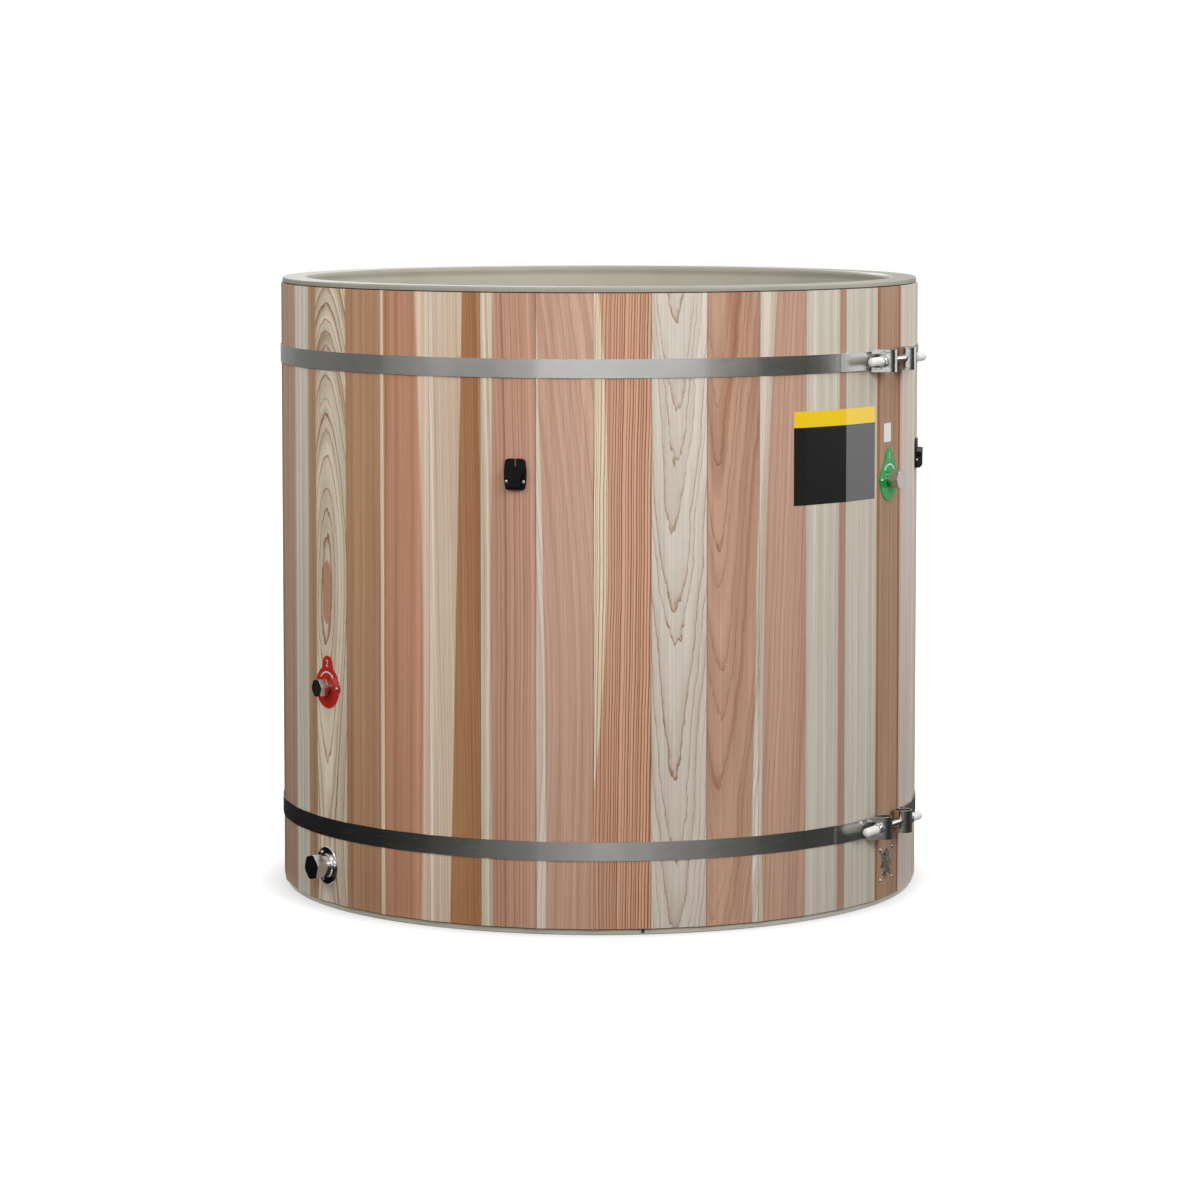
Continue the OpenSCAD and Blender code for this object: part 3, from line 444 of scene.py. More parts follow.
# %% Board values
CREAM, PINK, TAN, BROWN = "#d9cfc0", "#c79f89", "#b48c6c", "#9c6f4b"
chosen = {
    -8: dict(wood="#b79b82", pith=(-300, 40), ring=4.2, mark=0.5),
    -7: dict(wood="#dbd9ca", pith=(-260, 50), ring=6.0, mark=0.8, right=(13, 4, 0, 4, "#b38f6d")),
    -6: dict(wood="#cfc3ad", pith=(-13, 45), ring=6.5, mark=1.5, arch=(380, 523), wander=5,
             streak=0.55, core=(-13, 523, 13, "#b98a6c")),
    -5: dict(wood="#b58d6b", pith=(-420, 60), ring=4.8, mark=0.6, climb=4, streak=0.3,
             right=(38, 2, 0, 2, "#dfcdb4")),
    -4: dict(wood="#c08f71", pith=(340, 50), ring=4.6, mark=0.5, climb=-6, streak=0.2,
             right=(33, -8, -40, 7, "#d8c2aa")),
    -3: dict(wood="#d7c3ac", pith=(260, 30), ring=5.4, mark=0.6, climb=20, streak=0.22,
             right=(2, 24, 0, 2, "#ab7d55"), left=(-38, 3, 0, 3, "#dfd6c8")),
    -2: dict(wood="#be957d", pith=(-360, 40), ring=5.0, mark=0.85, arch=(30, 500), streak=0.26,
             left=(-28, 2, 10, 3, "#d7cdb8")),
    -1: dict(wood="#c39e89", pith=(-300, 60), ring=7.0, mark=0.75, arch=(150, 350), streak=0.2,
             wander=4, left=(-33, -16, -20, 2, "#d5ccbe")),
    0: dict(wood="#cca389", pith=(-330, 40), ring=4.4, mark=3.6, climb=14, streak=0.16,
            left=(-25.5, 40, -120, 2, "#e0d4ba")),
    1: dict(wood="#cfc6bb", pith=(-7, 24), ring=8.5, mark=1.3, climb=72, wander=9, streak=0.1),
    2: dict(wood="#b8927a", pith=(-26, 16), ring=9.0, mark=0.85, climb=90, wander=9,
            streak=0.34, right=(40, 26, 30, 3, "#ccc7bc"), left=(-34, -6, 0, 2, "#b38c73")),
    3: dict(wood="#ba9682", pith=(-200, 60), ring=6.0, mark=0.6, climb=40, wander=5,
            streak=0.18, left=(-36, 22, 40, 3, "#cdc3b5")),
    4: dict(wood="#c6c0b4", pith=(-300, 50), ring=4.0, mark=0.7, climb=3, streak=0.14,
            right=(29, 2, 0, 5, "#ad8a75")),
    5: dict(wood="#c2bdb1", pith=(260, 60), ring=3.8, mark=0.7, climb=2, streak=0.12),
    6: dict(wood="#a78a71", pith=(-260, 50), ring=3.8, mark=1.0, climb=4, streak=0.3,
            left=(-36, 2, 0, 4, "#9f734f"), right=(36, -2, 0, 4, "#9c684a")),
    7: dict(wood="#cbc1b8", pith=(240, 60), ring=3.6, mark=0.5, right=(14, 2, 0, 3, "#cfc9be")),
    8: dict(wood="#d3c9bb", pith=(240, 60), ring=5.0, mark=0.35),
}


def made_up(board):
    """Believable values for a board that the front view doesn't show."""
    pick = random.Random(board)
    wood = pick.choice([CREAM, PINK, PINK, TAN, "#bd9177", "#ae8766"])
    values = dict(wood=wood, ring=pick.uniform(3.4, 7), mark=pick.uniform(0.35, 0.8),
                  pith=(pick.choice([-1, 1]) * pick.uniform(120, 400), pick.uniform(30, 70)),
                  climb=pick.uniform(-25, 25), streak=pick.uniform(0.12, 0.3))
    if pick.random() < 0.3:
        values.update(pith=(pick.uniform(-20, 20), pick.uniform(15, 40)), ring=pick.uniform(7, 10),
                      climb=pick.choice([-1, 1]) * pick.uniform(60, 110), wander=pick.uniform(5, 8))
    if pick.random() < 0.55:
        strip = pick.choice([CREAM, "#d9cbb8", BROWN if wood == CREAM else CREAM])
        side, sign = pick.choice([("left", -1), ("right", 1)])
        values[side] = (sign * pick.uniform(8, 38), pick.uniform(-20, 20), pick.uniform(-40, 40),
                        3, strip)
    return values


print(len(chosen), "boards described one by one")

# %% [markdown]
# Pipes pass through two of the boards, and the vent opens through one, so those are bored.
# Each board keeps its own straight coordinates in the attribute "grain": across the face,
# into the wood and up from the floor. They stay with the wood when the board is carried to
# its place, so the figure runs along the board wherever it stands.

# %% Make the boards
PORT_BORE, DRAIN_BORE, VENT_BORE = 0.011, 0.0171, 0.014
bores = {
    OUTLET[0]: [(*OUTLET[1:], PORT_BORE), (*DRAIN[1:], DRAIN_BORE)],
    INLET[0]: [(*INLET[1:], PORT_BORE), (*VENT[1:], VENT_BORE)],
}


def set_value(mesh, name, kind, value):
    """Writes one value on every point of a mesh."""
    layer = mesh.attributes.new(name, kind, "POINT")
    field = {"FLOAT": "value", "FLOAT_VECTOR": "vector", "FLOAT_COLOR": "color"}[kind]
    for entry in layer.data:
        setattr(entry, field, value)


def board_piece(board):
    """One board in its place, with its bores and all the values that its figure needs."""
    values = chosen.get(board) or made_up(board)
    bm = board_shape()
    if board in bores:
        upright = Matrix.Rotation(math.radians(90), 4, "X")
        bm = carved(bm, *[rod_shape(radius, -0.04, 0.04, 48,
                                    Matrix.Translation((across, -FACE_R, height)) @ upright)
                          for across, height, radius in bores[board]])
    grain = bm.verts.layers.float_vector.new("grain")
    for point in bm.verts:
        point[grain] = (point.co.x, point.co.y + FACE_R, point.co.z)
    made = piece(f"board_{board % BOARDS:02d}", bm, turned(board), "tub", smooth=30)
    mesh, wood = made.data, values["wood"]
    across, behind = values["pith"]
    bow, bow_at = values.get("arch", (0, 500))
    left = values.get("left", (-90, 0, 0, 3, wood))
    right = values.get("right", (90, 0, 0, 3, wood))
    core = values.get("core", (0, -900, 10, wood))
    vectors = {
        "pith": (across, behind, values.get("climb", 0)),
        "figure": (values["ring"], values.get("wander", 2.5), values["mark"] * 1000),
        "arch": (bow, bow_at, values.get("streak", 0.18) * 1000),
        "left_edge": left[:3], "right_edge": right[:3],
        "soft": (left[3], right[3], 0),
        "core_place": core[:3],
    }
    for name, vector in vectors.items():
        set_value(mesh, name, "FLOAT_VECTOR", [v / 1000 for v in vector])
    set_value(mesh, "seed", "FLOAT", (board % BOARDS) * 1.7)
    for name, colour in (("wood", wood), ("left", left[4]), ("right", right[4]), ("core", core[3])):
        set_value(mesh, name, "FLOAT_COLOR", linear(colour))
    return made


boards = {k: board_piece(k) for k in EVERY_BOARD}
print("boards made:", len(boards))

# %% [markdown]
# Planed and sanded cedar
#
# The rings are circles round the log's middle, measured in the board's own cross-section.
# They slope and bow along the log, and the middle wanders a little, which bends the stripes.
# Each ring is pale where it grew in spring and darkens to a thin brown line in autumn. The
# colour also drifts from ring to ring, so broad streaks follow the same lines. Fine fibres
# are noise that is stretched far along the board. Sanded cedar is matt, with a faint sheen.

# %% Cedar finish
cedar, tree, shader = finish("cedar_planed_and_sanded", Roughness=0.62, Specular_IOR_Level=0.25)


def own(name, output="Vector"):
    """A value that a board carries in its mesh."""
    return add(tree, "Attribute", attribute_name=name).outputs[output]


def parts(vector):
    """The three numbers of a vector."""
    return add(tree, "SeparateXYZ", {0: vector}).outputs


def maths(operation, *values):
    """The next number of a chain."""
    return signal(tree, "Math", dict(enumerate(values)), operation=operation)


times, plus, minus = (partial(maths, way) for way in ("MULTIPLY", "ADD", "SUBTRACT"))


def blend(amount, first, second, way="MIX"):
    """Two colours laid over each other."""
    return add(tree, "Mix", {0: amount, 6: first, 7: second}, data_type="RGBA",
               blend_type=way).outputs[2]


def noise(stretch, detail, roughness=0.5):
    """Noise over the board, with the number of features in a metre across, deep and along."""
    scaled = signal(tree, "VectorMath", {0: grain, 1: stretch}, operation="MULTIPLY")
    return add(tree, "TexNoise", {"Vector": scaled, "W": seed, "Scale": 1.0, "Detail": detail,
                                  "Roughness": roughness}, noise_dimensions="4D").outputs


def noise_along(number, scale, detail):
    """Noise that changes with one number only."""
    return signal(tree, "TexNoise", {"W": maths("MULTIPLY_ADD", number, scale, seed), "Scale": 1.0,
                                     "Detail": detail}, noise_dimensions="1D")


BOW_ABOVE, BOW_BELOW = 0.5, 0.125  # metres over which rings bow about a height
LINE_THICK, LINE_WIDEST = 0.0017, 0.016  # an autumn line in the log, and on a face

grain, seed = own("grain"), own("seed", "Fac")
place, pith = parts(grain), parts(own("pith"))
figure, arch = parts(own("figure")), parts(own("arch"))
sway = parts(noise((6, 6, 3.2), 1.5)["Color"])
wave = parts(noise((11, 11, 9), 1.0)["Color"])
ragged = times(minus(noise((70, 70, 26), 3.0)[0], 0.5), figure[1])
torn = times(minus(noise((190, 190, 60), 3.0)[0], 0.5), figure[1])
sway_x = times(minus(sway[0], 0.5), times(figure[1], 2.4))
sway_y = times(minus(sway[1], 0.5), times(figure[1], 2.4))
wave_x = times(minus(wave[0], 0.5), times(figure[1], 1.1))
from_x = plus(minus(place[0], pith[0]), plus(sway_x, wave_x))
from_y = plus(plus(place[1], pith[1]), sway_y)
flat = signal(tree, "CombineXYZ", {0: from_x, 1: from_y})
from_pith = add(tree, "VectorMath", {0: flat}, operation="LENGTH").outputs["Value"]
height = minus(place[2], arch[1])
radius = minus(from_pith, times(place[2], pith[2]))
bow_wide = maths("MULTIPLY_ADD", maths("LESS_THAN", height, 0.0), BOW_BELOW - BOW_ABOVE, BOW_ABOVE)
bowed = minus(1.0, maths("COSINE", maths("DIVIDE", height, bow_wide)))
bowed = times(times(bowed, 2.0), times(bow_wide, bow_wide))
radius = plus(radius, times(arch[0], bowed))
radius = plus(radius, maths("MULTIPLY_ADD", ragged, 0.5, times(torn, 0.35)))
count = plus(maths("DIVIDE", radius, figure[0]), times(noise_along(radius, 60.0, 2.0), 2.4))
strong = add(tree, "TexWhiteNoise", {"W": plus(maths("FLOOR", count), seed)},
             noise_dimensions="1D").outputs["Value"]
early = maths("FRACT", count)
across_rings = maths("DIVIDE", from_x, from_pith)
slope = maths("SQRT", maths("MULTIPLY_ADD", across_rings, across_rings,
                            maths("MULTIPLY_ADD", pith[2], pith[2], 0.002)))
ring_wide = maths("DIVIDE", figure[0], slope)
inside = times(minus(1.0, early), ring_wide)
line_wide = maths("MINIMUM", maths("DIVIDE", LINE_THICK, slope), LINE_WIDEST)
line_wide = maths("MINIMUM", times(ring_wide, 0.55), line_wide)
line = maths("MAXIMUM", minus(1.0, maths("DIVIDE", inside, line_wide)), 0.0)
line = times(maths("POWER", line, 1.4), maths("MINIMUM", times(inside, 3000.0), 1.0))
patchy = maths("MULTIPLY_ADD", noise((90, 90, 14), 2.0)[0], 0.8, 0.55)
line = times(line, maths("MULTIPLY_ADD", maths("POWER", strong, 1.4), 0.75, 0.3))
late = maths("MULTIPLY_ADD", maths("POWER", early, 3.0), 0.22, times(line, patchy))
late = times(late, figure[2])
print("rings worked out")


# %% Sapwood strips, streaks, fibres and the final colour
def strip_mask(name, sign, softness):
    """1 inside a strip at one side of the board; its edge leans, bends and sways."""
    edge = parts(own(name))
    middle = minus(place[2], 0.5)
    bend = times(edge[2], times(middle, middle))
    at = plus(edge[0], plus(times(edge[1], middle), bend))
    lean = maths("MULTIPLY_ADD", sway_x, 0.3, times(ragged, 0.25))
    at = plus(minus(place[0], at), lean)
    return signal(tree, "MapRange", {"Value": times(at, sign),
                                     "From Min": times(softness, -0.5),
                                     "From Max": times(softness, 0.5)},
                  interpolation_type="SMOOTHSTEP")


soft = parts(own("soft"))
core = parts(own("core_place"))
core_x = plus(minus(place[0], core[0]), times(ragged, 0.6))
core_x = maths("DIVIDE", core_x, core[2])
core_z = maths("DIVIDE", minus(place[2], core[1]), times(core[2], 4.0))
core_z = maths("POWER", core_z, 2.0)
core_off = maths("MULTIPLY_ADD", core_x, core_x, times(core_z, core_z))
in_core = signal(tree, "MapRange", {"Value": core_off, "From Min": 1.15, "From Max": 0.9},
                 interpolation_type="SMOOTHSTEP")
base = blend(in_core, own("wood", "Color"), own("core", "Color"))
base = blend(strip_mask("left_edge", -1.0, soft[0]), base, own("left", "Color"))
base = blend(strip_mask("right_edge", 1.0, soft[1]), base, own("right", "Color"))
streaks = minus(noise_along(radius, 75.0, 5.0), 0.5)
broad = minus(noise((16, 16, 1.1), 2.0)[0], 0.5)
fibre = noise((480, 480, 4), 3.0, 0.6)[0]
cords = minus(noise((230, 230, 1.6), 2.0)[0], 0.5)
fine = noise((1500, 1500, 24), 2.0)[0]
tone = plus(streaks, times(broad, 0.7))
warm = signal(tree, "MapRange", {"Value": times(tone, arch[2]),
                                 "From Min": -0.12, "From Max": 0.12})
toned = signal(tree, "ValToRGB", {0: warm},
               stops=[(0.0, "#bb977c"), (0.5, "#e3e2e1"), (1.0, "#ffffff")])
base = blend(1.0, base, toned, "MULTIPLY")
base = blend(1.0, base, (1.3, 1.3, 1.3, 1), "MULTIPLY")
shade = maths("MULTIPLY_ADD", minus(fibre, 0.5), 0.42, maths("MULTIPLY_ADD", cords, 0.34, 1.0))
shade = times(shade, maths("MULTIPLY_ADD", minus(fine, 0.5), 0.2, 1.0))
base = blend(1.0, base, signal(tree, "CombineXYZ", {0: shade, 1: shade, 2: shade}), "MULTIPLY")
base = blend(late, base, blend(1.0, base, linear("#bc8f6b"), "MULTIPLY"))
feed(tree, shader, Base_Color=base)
relief = plus(times(late, 0.5), times(fibre, 0.5))
emboss(tree, shader, relief, 0.3, 0.0003)
for made in boards.values():
    made.data.materials.append(cedar)
print("cedar has", len(tree.nodes), "nodes")

# %% The boards stand for the construction boards
plain = [k for k in EVERY_BOARD if k not in bores]
groups = ["staves_back_left", "staves_left_rear", "staves_left", "staves_front_left", "staves_front",
          "staves_front_right", "staves_right", "staves_right_rear", "staves_back_right"]
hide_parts("outlet_stave")
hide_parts("inlet_stave")
for g, group in enumerate(groups):
    first, last = g * len(plain) // len(groups), (g + 1) * len(plain) // len(groups)
    for k in plain[first:last]:
        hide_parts(group)
print(len(groups) + 2, "construction nodes replaced by boards")

# %% [markdown]
# The moulded bath and base
#
# The bath is a glass-fibre or acrylic moulding with a glossy, slightly greenish beige skin.
# A moulded skin isn't flat: it has a very faint long ripple that breaks up reflections. The
# rolled rim is painted darker than the walls: painted shade on the rim.

# %% Glossy moulding
moulding, tree, shader = finish("gel_coat_moulded_gloss", Roughness=0.3, Specular_IOR_Level=0.15)
spot = add(tree, "TexCoord").outputs["Object"]
ripple = signal(tree, "TexNoise", {"Vector": spot, "Scale": 9.0, "Detail": 2.0})
speck = signal(tree, "TexNoise", {"Vector": spot, "Scale": 900.0, "Detail": 1.0})
tint = add(tree, "ValToRGB", {0: ripple}, stops=[(0.3, "#b9b6a6"), (0.7, "#c1beb0")])
high = add(tree, "SeparateXYZ", {0: spot}).outputs["Z"]
RIM_SHADE_FROM, RIM_SHADE_FULL = 1.014, 1.02  # heights between which the rim's shade sets in
# Painted shade: from these heights up the moulding's colour is multiplied by a light grey, so the rim
# renders darker.
rim_painted_shade = signal(tree, "MapRange", {"Value": high, "From Min": RIM_SHADE_FROM, "From Max": RIM_SHADE_FULL})
tint = blend(rim_painted_shade, tint.outputs[0], blend(1.0, tint.outputs[0], linear("#dedede"), "MULTIPLY"))
feed(tree, shader, Base_Color=tint)
height = add(tree, "Math", {0: speck, 1: 0.02, 2: ripple}, operation="MULTIPLY_ADD")
emboss(tree, shader, height.outputs[0], 0.15, 0.002)
moulded = ("liner", "base_pan")
dress(moulding, *moulded)
print("moulding on", *moulded)

# %% [markdown]
# Hoops
#
# A hoop is a strip of stainless steel pulled tight round the boards. It touches them at their
# corners, bends there a little and bows over each flat face, which shows as small steps in its
# reflections. The strip is brushed along its length: noise that is fine up and down and very
# long round the tub.

# %% Brushed hoop steel
hoop_steel, tree, shader = finish("stainless_steel_brushed", Metallic=1.0)
spot = add(tree, "TexCoord").outputs["Object"]
x, y, z = add(tree, "SeparateXYZ", {0: spot}).outputs
round_tub = signal(tree, "Math", {0: x, 1: y}, operation="ARCTAN2")
along = signal(tree, "Math", {0: round_tub, 1: 6.0}, operation="MULTIPLY")
upward = signal(tree, "Math", {0: z, 1: 2600.0}, operation="MULTIPLY")
lines = signal(tree, "CombineXYZ", {0: along, 1: upward})
brushed = signal(tree, "TexNoise", {"Vector": lines, "Scale": 1.0, "Detail": 3.0})
rough = add(tree, "MapRange", {"Value": brushed, "To Min": 0.16, "To Max": 0.32})
smudge = signal(tree, "TexNoise", {"Vector": spot, "Scale": 14.0, "Detail": 3.0})
tint = add(tree, "ValToRGB", {0: smudge}, stops=[(0.35, "#d1d0cc"), (0.65, "#dedcd8")])
feed(tree, shader, Roughness=rough.outputs[0], Base_Color=tint.outputs[0])
emboss(tree, shader, brushed, 0.1, 0.0002)
print("hoop steel brushed")

# %% Hoop shapes
HOOP_WIDE, HOOP_THICK, HOOP_GAP = 0.030, 0.0012, 0.0002
BENT = 0.3  # 0 is a round hoop, 1 lies flat on the boards
BEND = 0.45  # half the bend at a joint, in degrees
NEAR_JOINT = (0.15, 0.45, 0.8, 1.4, 2.4, 3.6)  # degrees from a joint where the strip has points
LUG_X, LUG_Y = 0.038, 0.556404  # a lug along its rod, and the rod from the axis
HALF_GAP = math.degrees(math.atan(LUG_X / LUG_Y))
UPPER_Z, UPPER_X, LOWER_Z, LOWER_X = 0.9028, -0.008, 0.1353, -0.015


def clamp_bearing(across):
    """The bearing of a clamp's middle, which lies across the clamps' board."""
    return FIRST + PITCH * CLAMP_BOARD + math.degrees(math.atan(across / FACE_R))


def hoop_reach(bearing, out):
    """Distance of the strip from the tub's axis: a circle that flattens over each board."""
    off = abs((bearing - FIRST + PITCH / 2) % PITCH - PITCH / 2)
    flat = (FACE_R + HOOP_GAP + out) / math.cos(math.radians(min(off, PITCH / 2 - BEND)))
    return CORNER_R + HOOP_GAP + out + BENT * (flat - CORNER_R - HOOP_GAP - out)


def hoop_piece(name, node, height, clamp_across, half_gap):
    """A strip that bends at each joint and starts and ends at its clamp."""
    clamp_at = clamp_bearing(clamp_across)
    first, last = clamp_at + half_gap, clamp_at + 360 - half_gap
    stops = [first, last]
    for joint in range(BOARDS + 1):
        corner = FIRST + PITCH * (CLAMP_BOARD - 0.5 + joint)
        stops += [corner + side * turn for turn in NEAR_JOINT for side in (-1, 1)]
        stops.append(corner + PITCH / 2)
    bm = bmesh.new()
    rows = []
    for bearing in sorted(b for b in stops if first <= b <= last):
        turn = math.radians(bearing)
        row = []
        for out, up in ((0, -1), (0, 1), (HOOP_THICK, 1), (HOOP_THICK, -1)):
            reach = hoop_reach(bearing, out)
            point = (reach * math.sin(turn), -reach * math.cos(turn), height + up * HOOP_WIDE / 2)
            row.append(bm.verts.new(point))
        rows.append(row)
    skin(bm, rows)
    long_edges = [bm.edges.get((a[i], b[i])) for a, b in zip(rows, rows[1:]) for i in (2, 3)]
    ease(bm, long_edges, 0.0003, 2)
    made = piece(name, bm, HERE, "tub", hoop_steel, smooth=30)
    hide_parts(node)
    return made


hoop_piece("upper_hoop_strip", "upper_hoop", UPPER_Z, UPPER_X, HALF_GAP)
hoop_piece("lower_hoop_strip", "lower_hoop", LOWER_Z, LOWER_X, HALF_GAP)
print("hoops bent over", BOARDS, "boards")

# %% [markdown]
# Polished steel
#
# Nuts, washers, caps and pipes are polished or turned. Their edges aren't knife sharp: the
# Bevel node rounds the shading by about half a millimetre, which gives every edge its thin
# bright line.

# %% Polished steel
polished, tree, shader = finish("stainless_steel_polished", Metallic=1.0, Base_Color="#cfcecb")
spot = add(tree, "TexCoord").outputs["Object"]
smear = signal(tree, "TexNoise", {"Vector": spot, "Scale": 160.0, "Detail": 4.0})
rough = add(tree, "MapRange", {"Value": smear, "To Min": 0.12, "To Max": 0.24})
feed(tree, shader, Roughness=rough.outputs[0])
emboss(tree, shader, smear, 0.06, 0.0004, rounded=0.0004)
steel_nodes = [n for n in nodes if any(w in n for w in ("_washer_", "_nut_", "_pipe", "locknut"))]
steel_nodes += ["outlet_cap", "inlet_cap", "drain_cap", "drain_flange", "drain_grate"]
dress(polished, *steel_nodes)
print("polished steel on", len(steel_nodes), "nodes")

# %% [markdown]
# Cast lugs
#
# The lugs are castings that were polished afterwards, so their tubes shine but carry soft
# dents. The flat strap that lies on the boards has no dents and is a little duller.

# %% Cast steel of the lugs
STRAP_R, TUBE_R = 0.545, 0.549  # distances from the axis: strap within, tube beyond
lug_steel, tree, shader = finish("stainless_steel_cast_and_polished", Metallic=1.0,
                                 Base_Color="#d2d1cd")
spot = add(tree, "TexCoord").outputs["Object"]
dents = signal(tree, "TexNoise", {"Vector": spot, "Scale": 120.0, "Detail": 2.0})
level_spot = signal(tree, "VectorMath", {0: spot, 1: (1, 1, 0)}, operation="MULTIPLY")
from_axis = add(tree, "VectorMath", {0: level_spot}, operation="LENGTH").outputs["Value"]
off_strap = signal(tree, "MapRange", {"Value": from_axis, "From Min": STRAP_R,
                                      "From Max": TUBE_R})
dents = signal(tree, "Math", {0: dents, 1: off_strap}, operation="MULTIPLY")
emboss(tree, shader, dents, 0.4, 0.001, rounded=0.0005)
rough = signal(tree, "MapRange", {"Value": off_strap, "To Min": 0.24, "To Max": 0.1})
feed(tree, shader, Roughness=rough)
dress(lug_steel, *[n for n in nodes if "_lug_" in n])
print("lugs dressed")

# %% [markdown]
# The vent
#
# The vent is an open casting with a duller, pitted skin. A thin black sheet lies behind it,
# painted shade, so that its gaps show black.

# %% Cast steel of the vent
vent_steel, tree, shader = finish("stainless_steel_cast", Metallic=1.0, Base_Color="#cfcdc8")
spot = add(tree, "TexCoord").outputs["Object"]
pits = signal(tree, "TexNoise", {"Vector": spot, "Scale": 420.0, "Detail": 3.0})
rough = add(tree, "MapRange", {"Value": pits, "To Min": 0.26, "To Max": 0.42})
feed(tree, shader, Roughness=rough.outputs[0])
emboss(tree, shader, pits, 0.25, 0.0006, rounded=0.0005)
dress(vent_steel, "vent_grille")
# Painted shade: a dark sheet on the board's face behind the grille, so its gaps look shaded.
painted_shade_sheet, tree, shader = finish("black_sheet_painted_shade", Roughness=0.7, Base_Color="#1c1916")
half_wide, half_tall, thick = 0.0082, 0.021, 0.0002
turns = [math.radians(10 * i) for i in range(36)]
outline = [(half_wide * math.cos(turn), half_tall * math.sin(turn)) for turn in turns]
piece("vent_painted_shade_sheet", slab(outline, thick), on_face(*VENT, 0.00003), "tub", painted_shade_sheet)
print("vent dressed")

# %% [markdown]
# Threaded rods
#
# The rods are cut with a metric thread of 1.5 millimetre pitch. The thread is a real helix:
# every point of the bar is pushed in by a zigzag that depends on its height and on the turn.

# %% Threaded rods
def clamp_place(across, height):
    """At a clamp's rod: X along the rod, Y into the tub, Z up."""
    turn = Matrix.Rotation(math.radians(clamp_bearing(across)), 4, "Z")
    return turn @ Matrix.Translation((0, -LUG_Y, height))


def rod_piece(name, node, across, height):
    """A threaded rod through a clamp, with its two ends eased."""
    half, radius, pitch, depth, taper = 0.0943, 0.005, 0.0015, 0.00085, 0.001
    around, per_turn = 20, 5  # points round the rod, and rows in one pitch
    bm = bmesh.new()
    rows = []
    steps = round(2 * half / pitch * per_turn)
    for step in range(steps + 1):
        along = -half + 2 * half * step / steps
        row = []
        for part in range(around):
            turn = 2 * math.pi * part / around
            phase = (along / pitch - part / around) % 1
            cut = depth * (1 - abs(2 * phase - 1))
            edge = max(0.0, taper - (half - abs(along)))
            reach = min(radius - cut, radius - edge)
            row.append(bm.verts.new((along, reach * math.cos(turn), reach * math.sin(turn))))
        rows.append(row)
    skin(bm, rows)
    made = piece(name, bm, clamp_place(across, height), "tub", polished, smooth=25)
    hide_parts(node)
    return made


rod_piece("upper_threaded_rod", "upper_rod", UPPER_X, UPPER_Z)
rod_piece("lower_threaded_rod", "lower_rod", LOWER_X, LOWER_Z)
print("rods threaded")

# %% [markdown]
# Screws
#
# The small screws have a low domed head with a cross recess. Each screw is a profile spun
# round its axis, and the cross is cut out of its head.

# %% Cross-recess screws
SCREW_IN_WOOD = 0.007
PLATE, FLANGE, GRILLE, CLIP = 0.002, 0.0025, 0.0016, 0.0035  # thickness under a head


def screw_shape(grip, turn):
    """A screw with its head on z = 0, its shank below and its cross turned by some degrees."""
    head, tall, shank, taper = 0.003, 0.0022, 0.0015, 0.003
    profile = [(0, -grip), (shank - 0.001, -grip), (shank, taper - grip), (shank, 0), (head, 0),
               (head, tall * 0.35)]
    profile += [(head * math.cos(math.radians(a)), tall * (0.35 + 0.65 * math.sin(math.radians(a))))
                for a in (15, 30, 45, 60, 75, 90)]
    profile[-1] = (0, tall)
    bm = bmesh.new()
    points = [bm.verts.new((r, 0, z)) for r, z in profile]
    edges = [bm.edges.new(pair) for pair in zip(points, points[1:])]
    bmesh.ops.spin(bm, geom=points + edges, cent=(0, 0, 0), axis=(0, 0, 1), angle=2 * math.pi,
                   steps=24, use_merge=True)
    bmesh.ops.remove_doubles(bm, verts=bm.verts, dist=0.00001)
    tools = []
    for side in (0, 90):
        bar = bmesh.new()
        bmesh.ops.create_cube(bar, size=1)
        bmesh.ops.scale(bar, vec=(0.0036, 0.0008, 0.0024), verts=bar.verts)
        bmesh.ops.translate(bar, vec=(0, 0, tall), verts=bar.verts)
        bmesh.ops.rotate(bar, matrix=Matrix.Rotation(math.radians(side + turn), 3, "Z"),
                         verts=bar.verts)
        tools.append(bar)
    bmesh.ops.recalc_face_normals(bm, faces=bm.faces)
    return carved(bm, *tools)


def screws_piece(name, node, spots):
    """All the screws of one construction node; each spot is a board, a place and a seat."""
    whole = bmesh.new()
    for number, (board, across, height, seat) in enumerate(spots):
        one = screw_shape(seat + SCREW_IN_WOOD, 20 + 37 * number)  # none stands as its neighbour
        bmesh.ops.transform(one, matrix=on_face(board, across, height, seat), verts=one.verts)
        mesh = bpy.data.meshes.new("screw")
        one.to_mesh(mesh)
        one.free()
        whole.from_mesh(mesh)
        bpy.data.meshes.remove(mesh)
    made = piece(name, whole, HERE, "tub", polished, smooth=30)
    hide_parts(node)
    return made


def spots_about(place, steps, seat):
    """Screws at some steps, across and up, from a place on a board."""
    board, across, height = place
    return [(board, across + x, height + y, seat) for x, y in steps]


pair = [(-0.030, 0), (0.030, 0)]
ring = [(0.025 * math.cos(math.radians(turn)), 0.025 * math.sin(math.radians(turn)))
        for turn in (5, 125, 245)]
corners = [(x, y) for x in (-0.023, 0.023) for y in (-0.0253, 0.0253)]
port_spots = spots_about(OUTLET, pair, PLATE) + spots_about(INLET, pair, PLATE)
port_spots += spots_about(DRAIN, ring, FLANGE)
vent_spots = spots_about(VENT, corners, GRILLE)
clip_spots = []
for board, across in ((-2, 0.013), (8, 0), (17, 0), (-11, 0)):
    clip_spots += spots_about((board, across, 0.7235), [(-0.0136, 0), (0.0136, 0)], CLIP)
screws_piece("port_screws_cross", "port_screws", port_spots)
screws_piece("vent_screws_cross", "vent_screws", vent_spots)
screws_piece("clip_screws_cross", "clip_screws", clip_spots)
print("screws:", len(port_spots + vent_spots + clip_spots))

# %% [markdown]
# Plastics and rubber
#
# The two port plates are glossy coloured plastic with white prints: a plain number on the
# lobe and a curved arrow that shows which way the cap turns. The prints are thin raised ink.

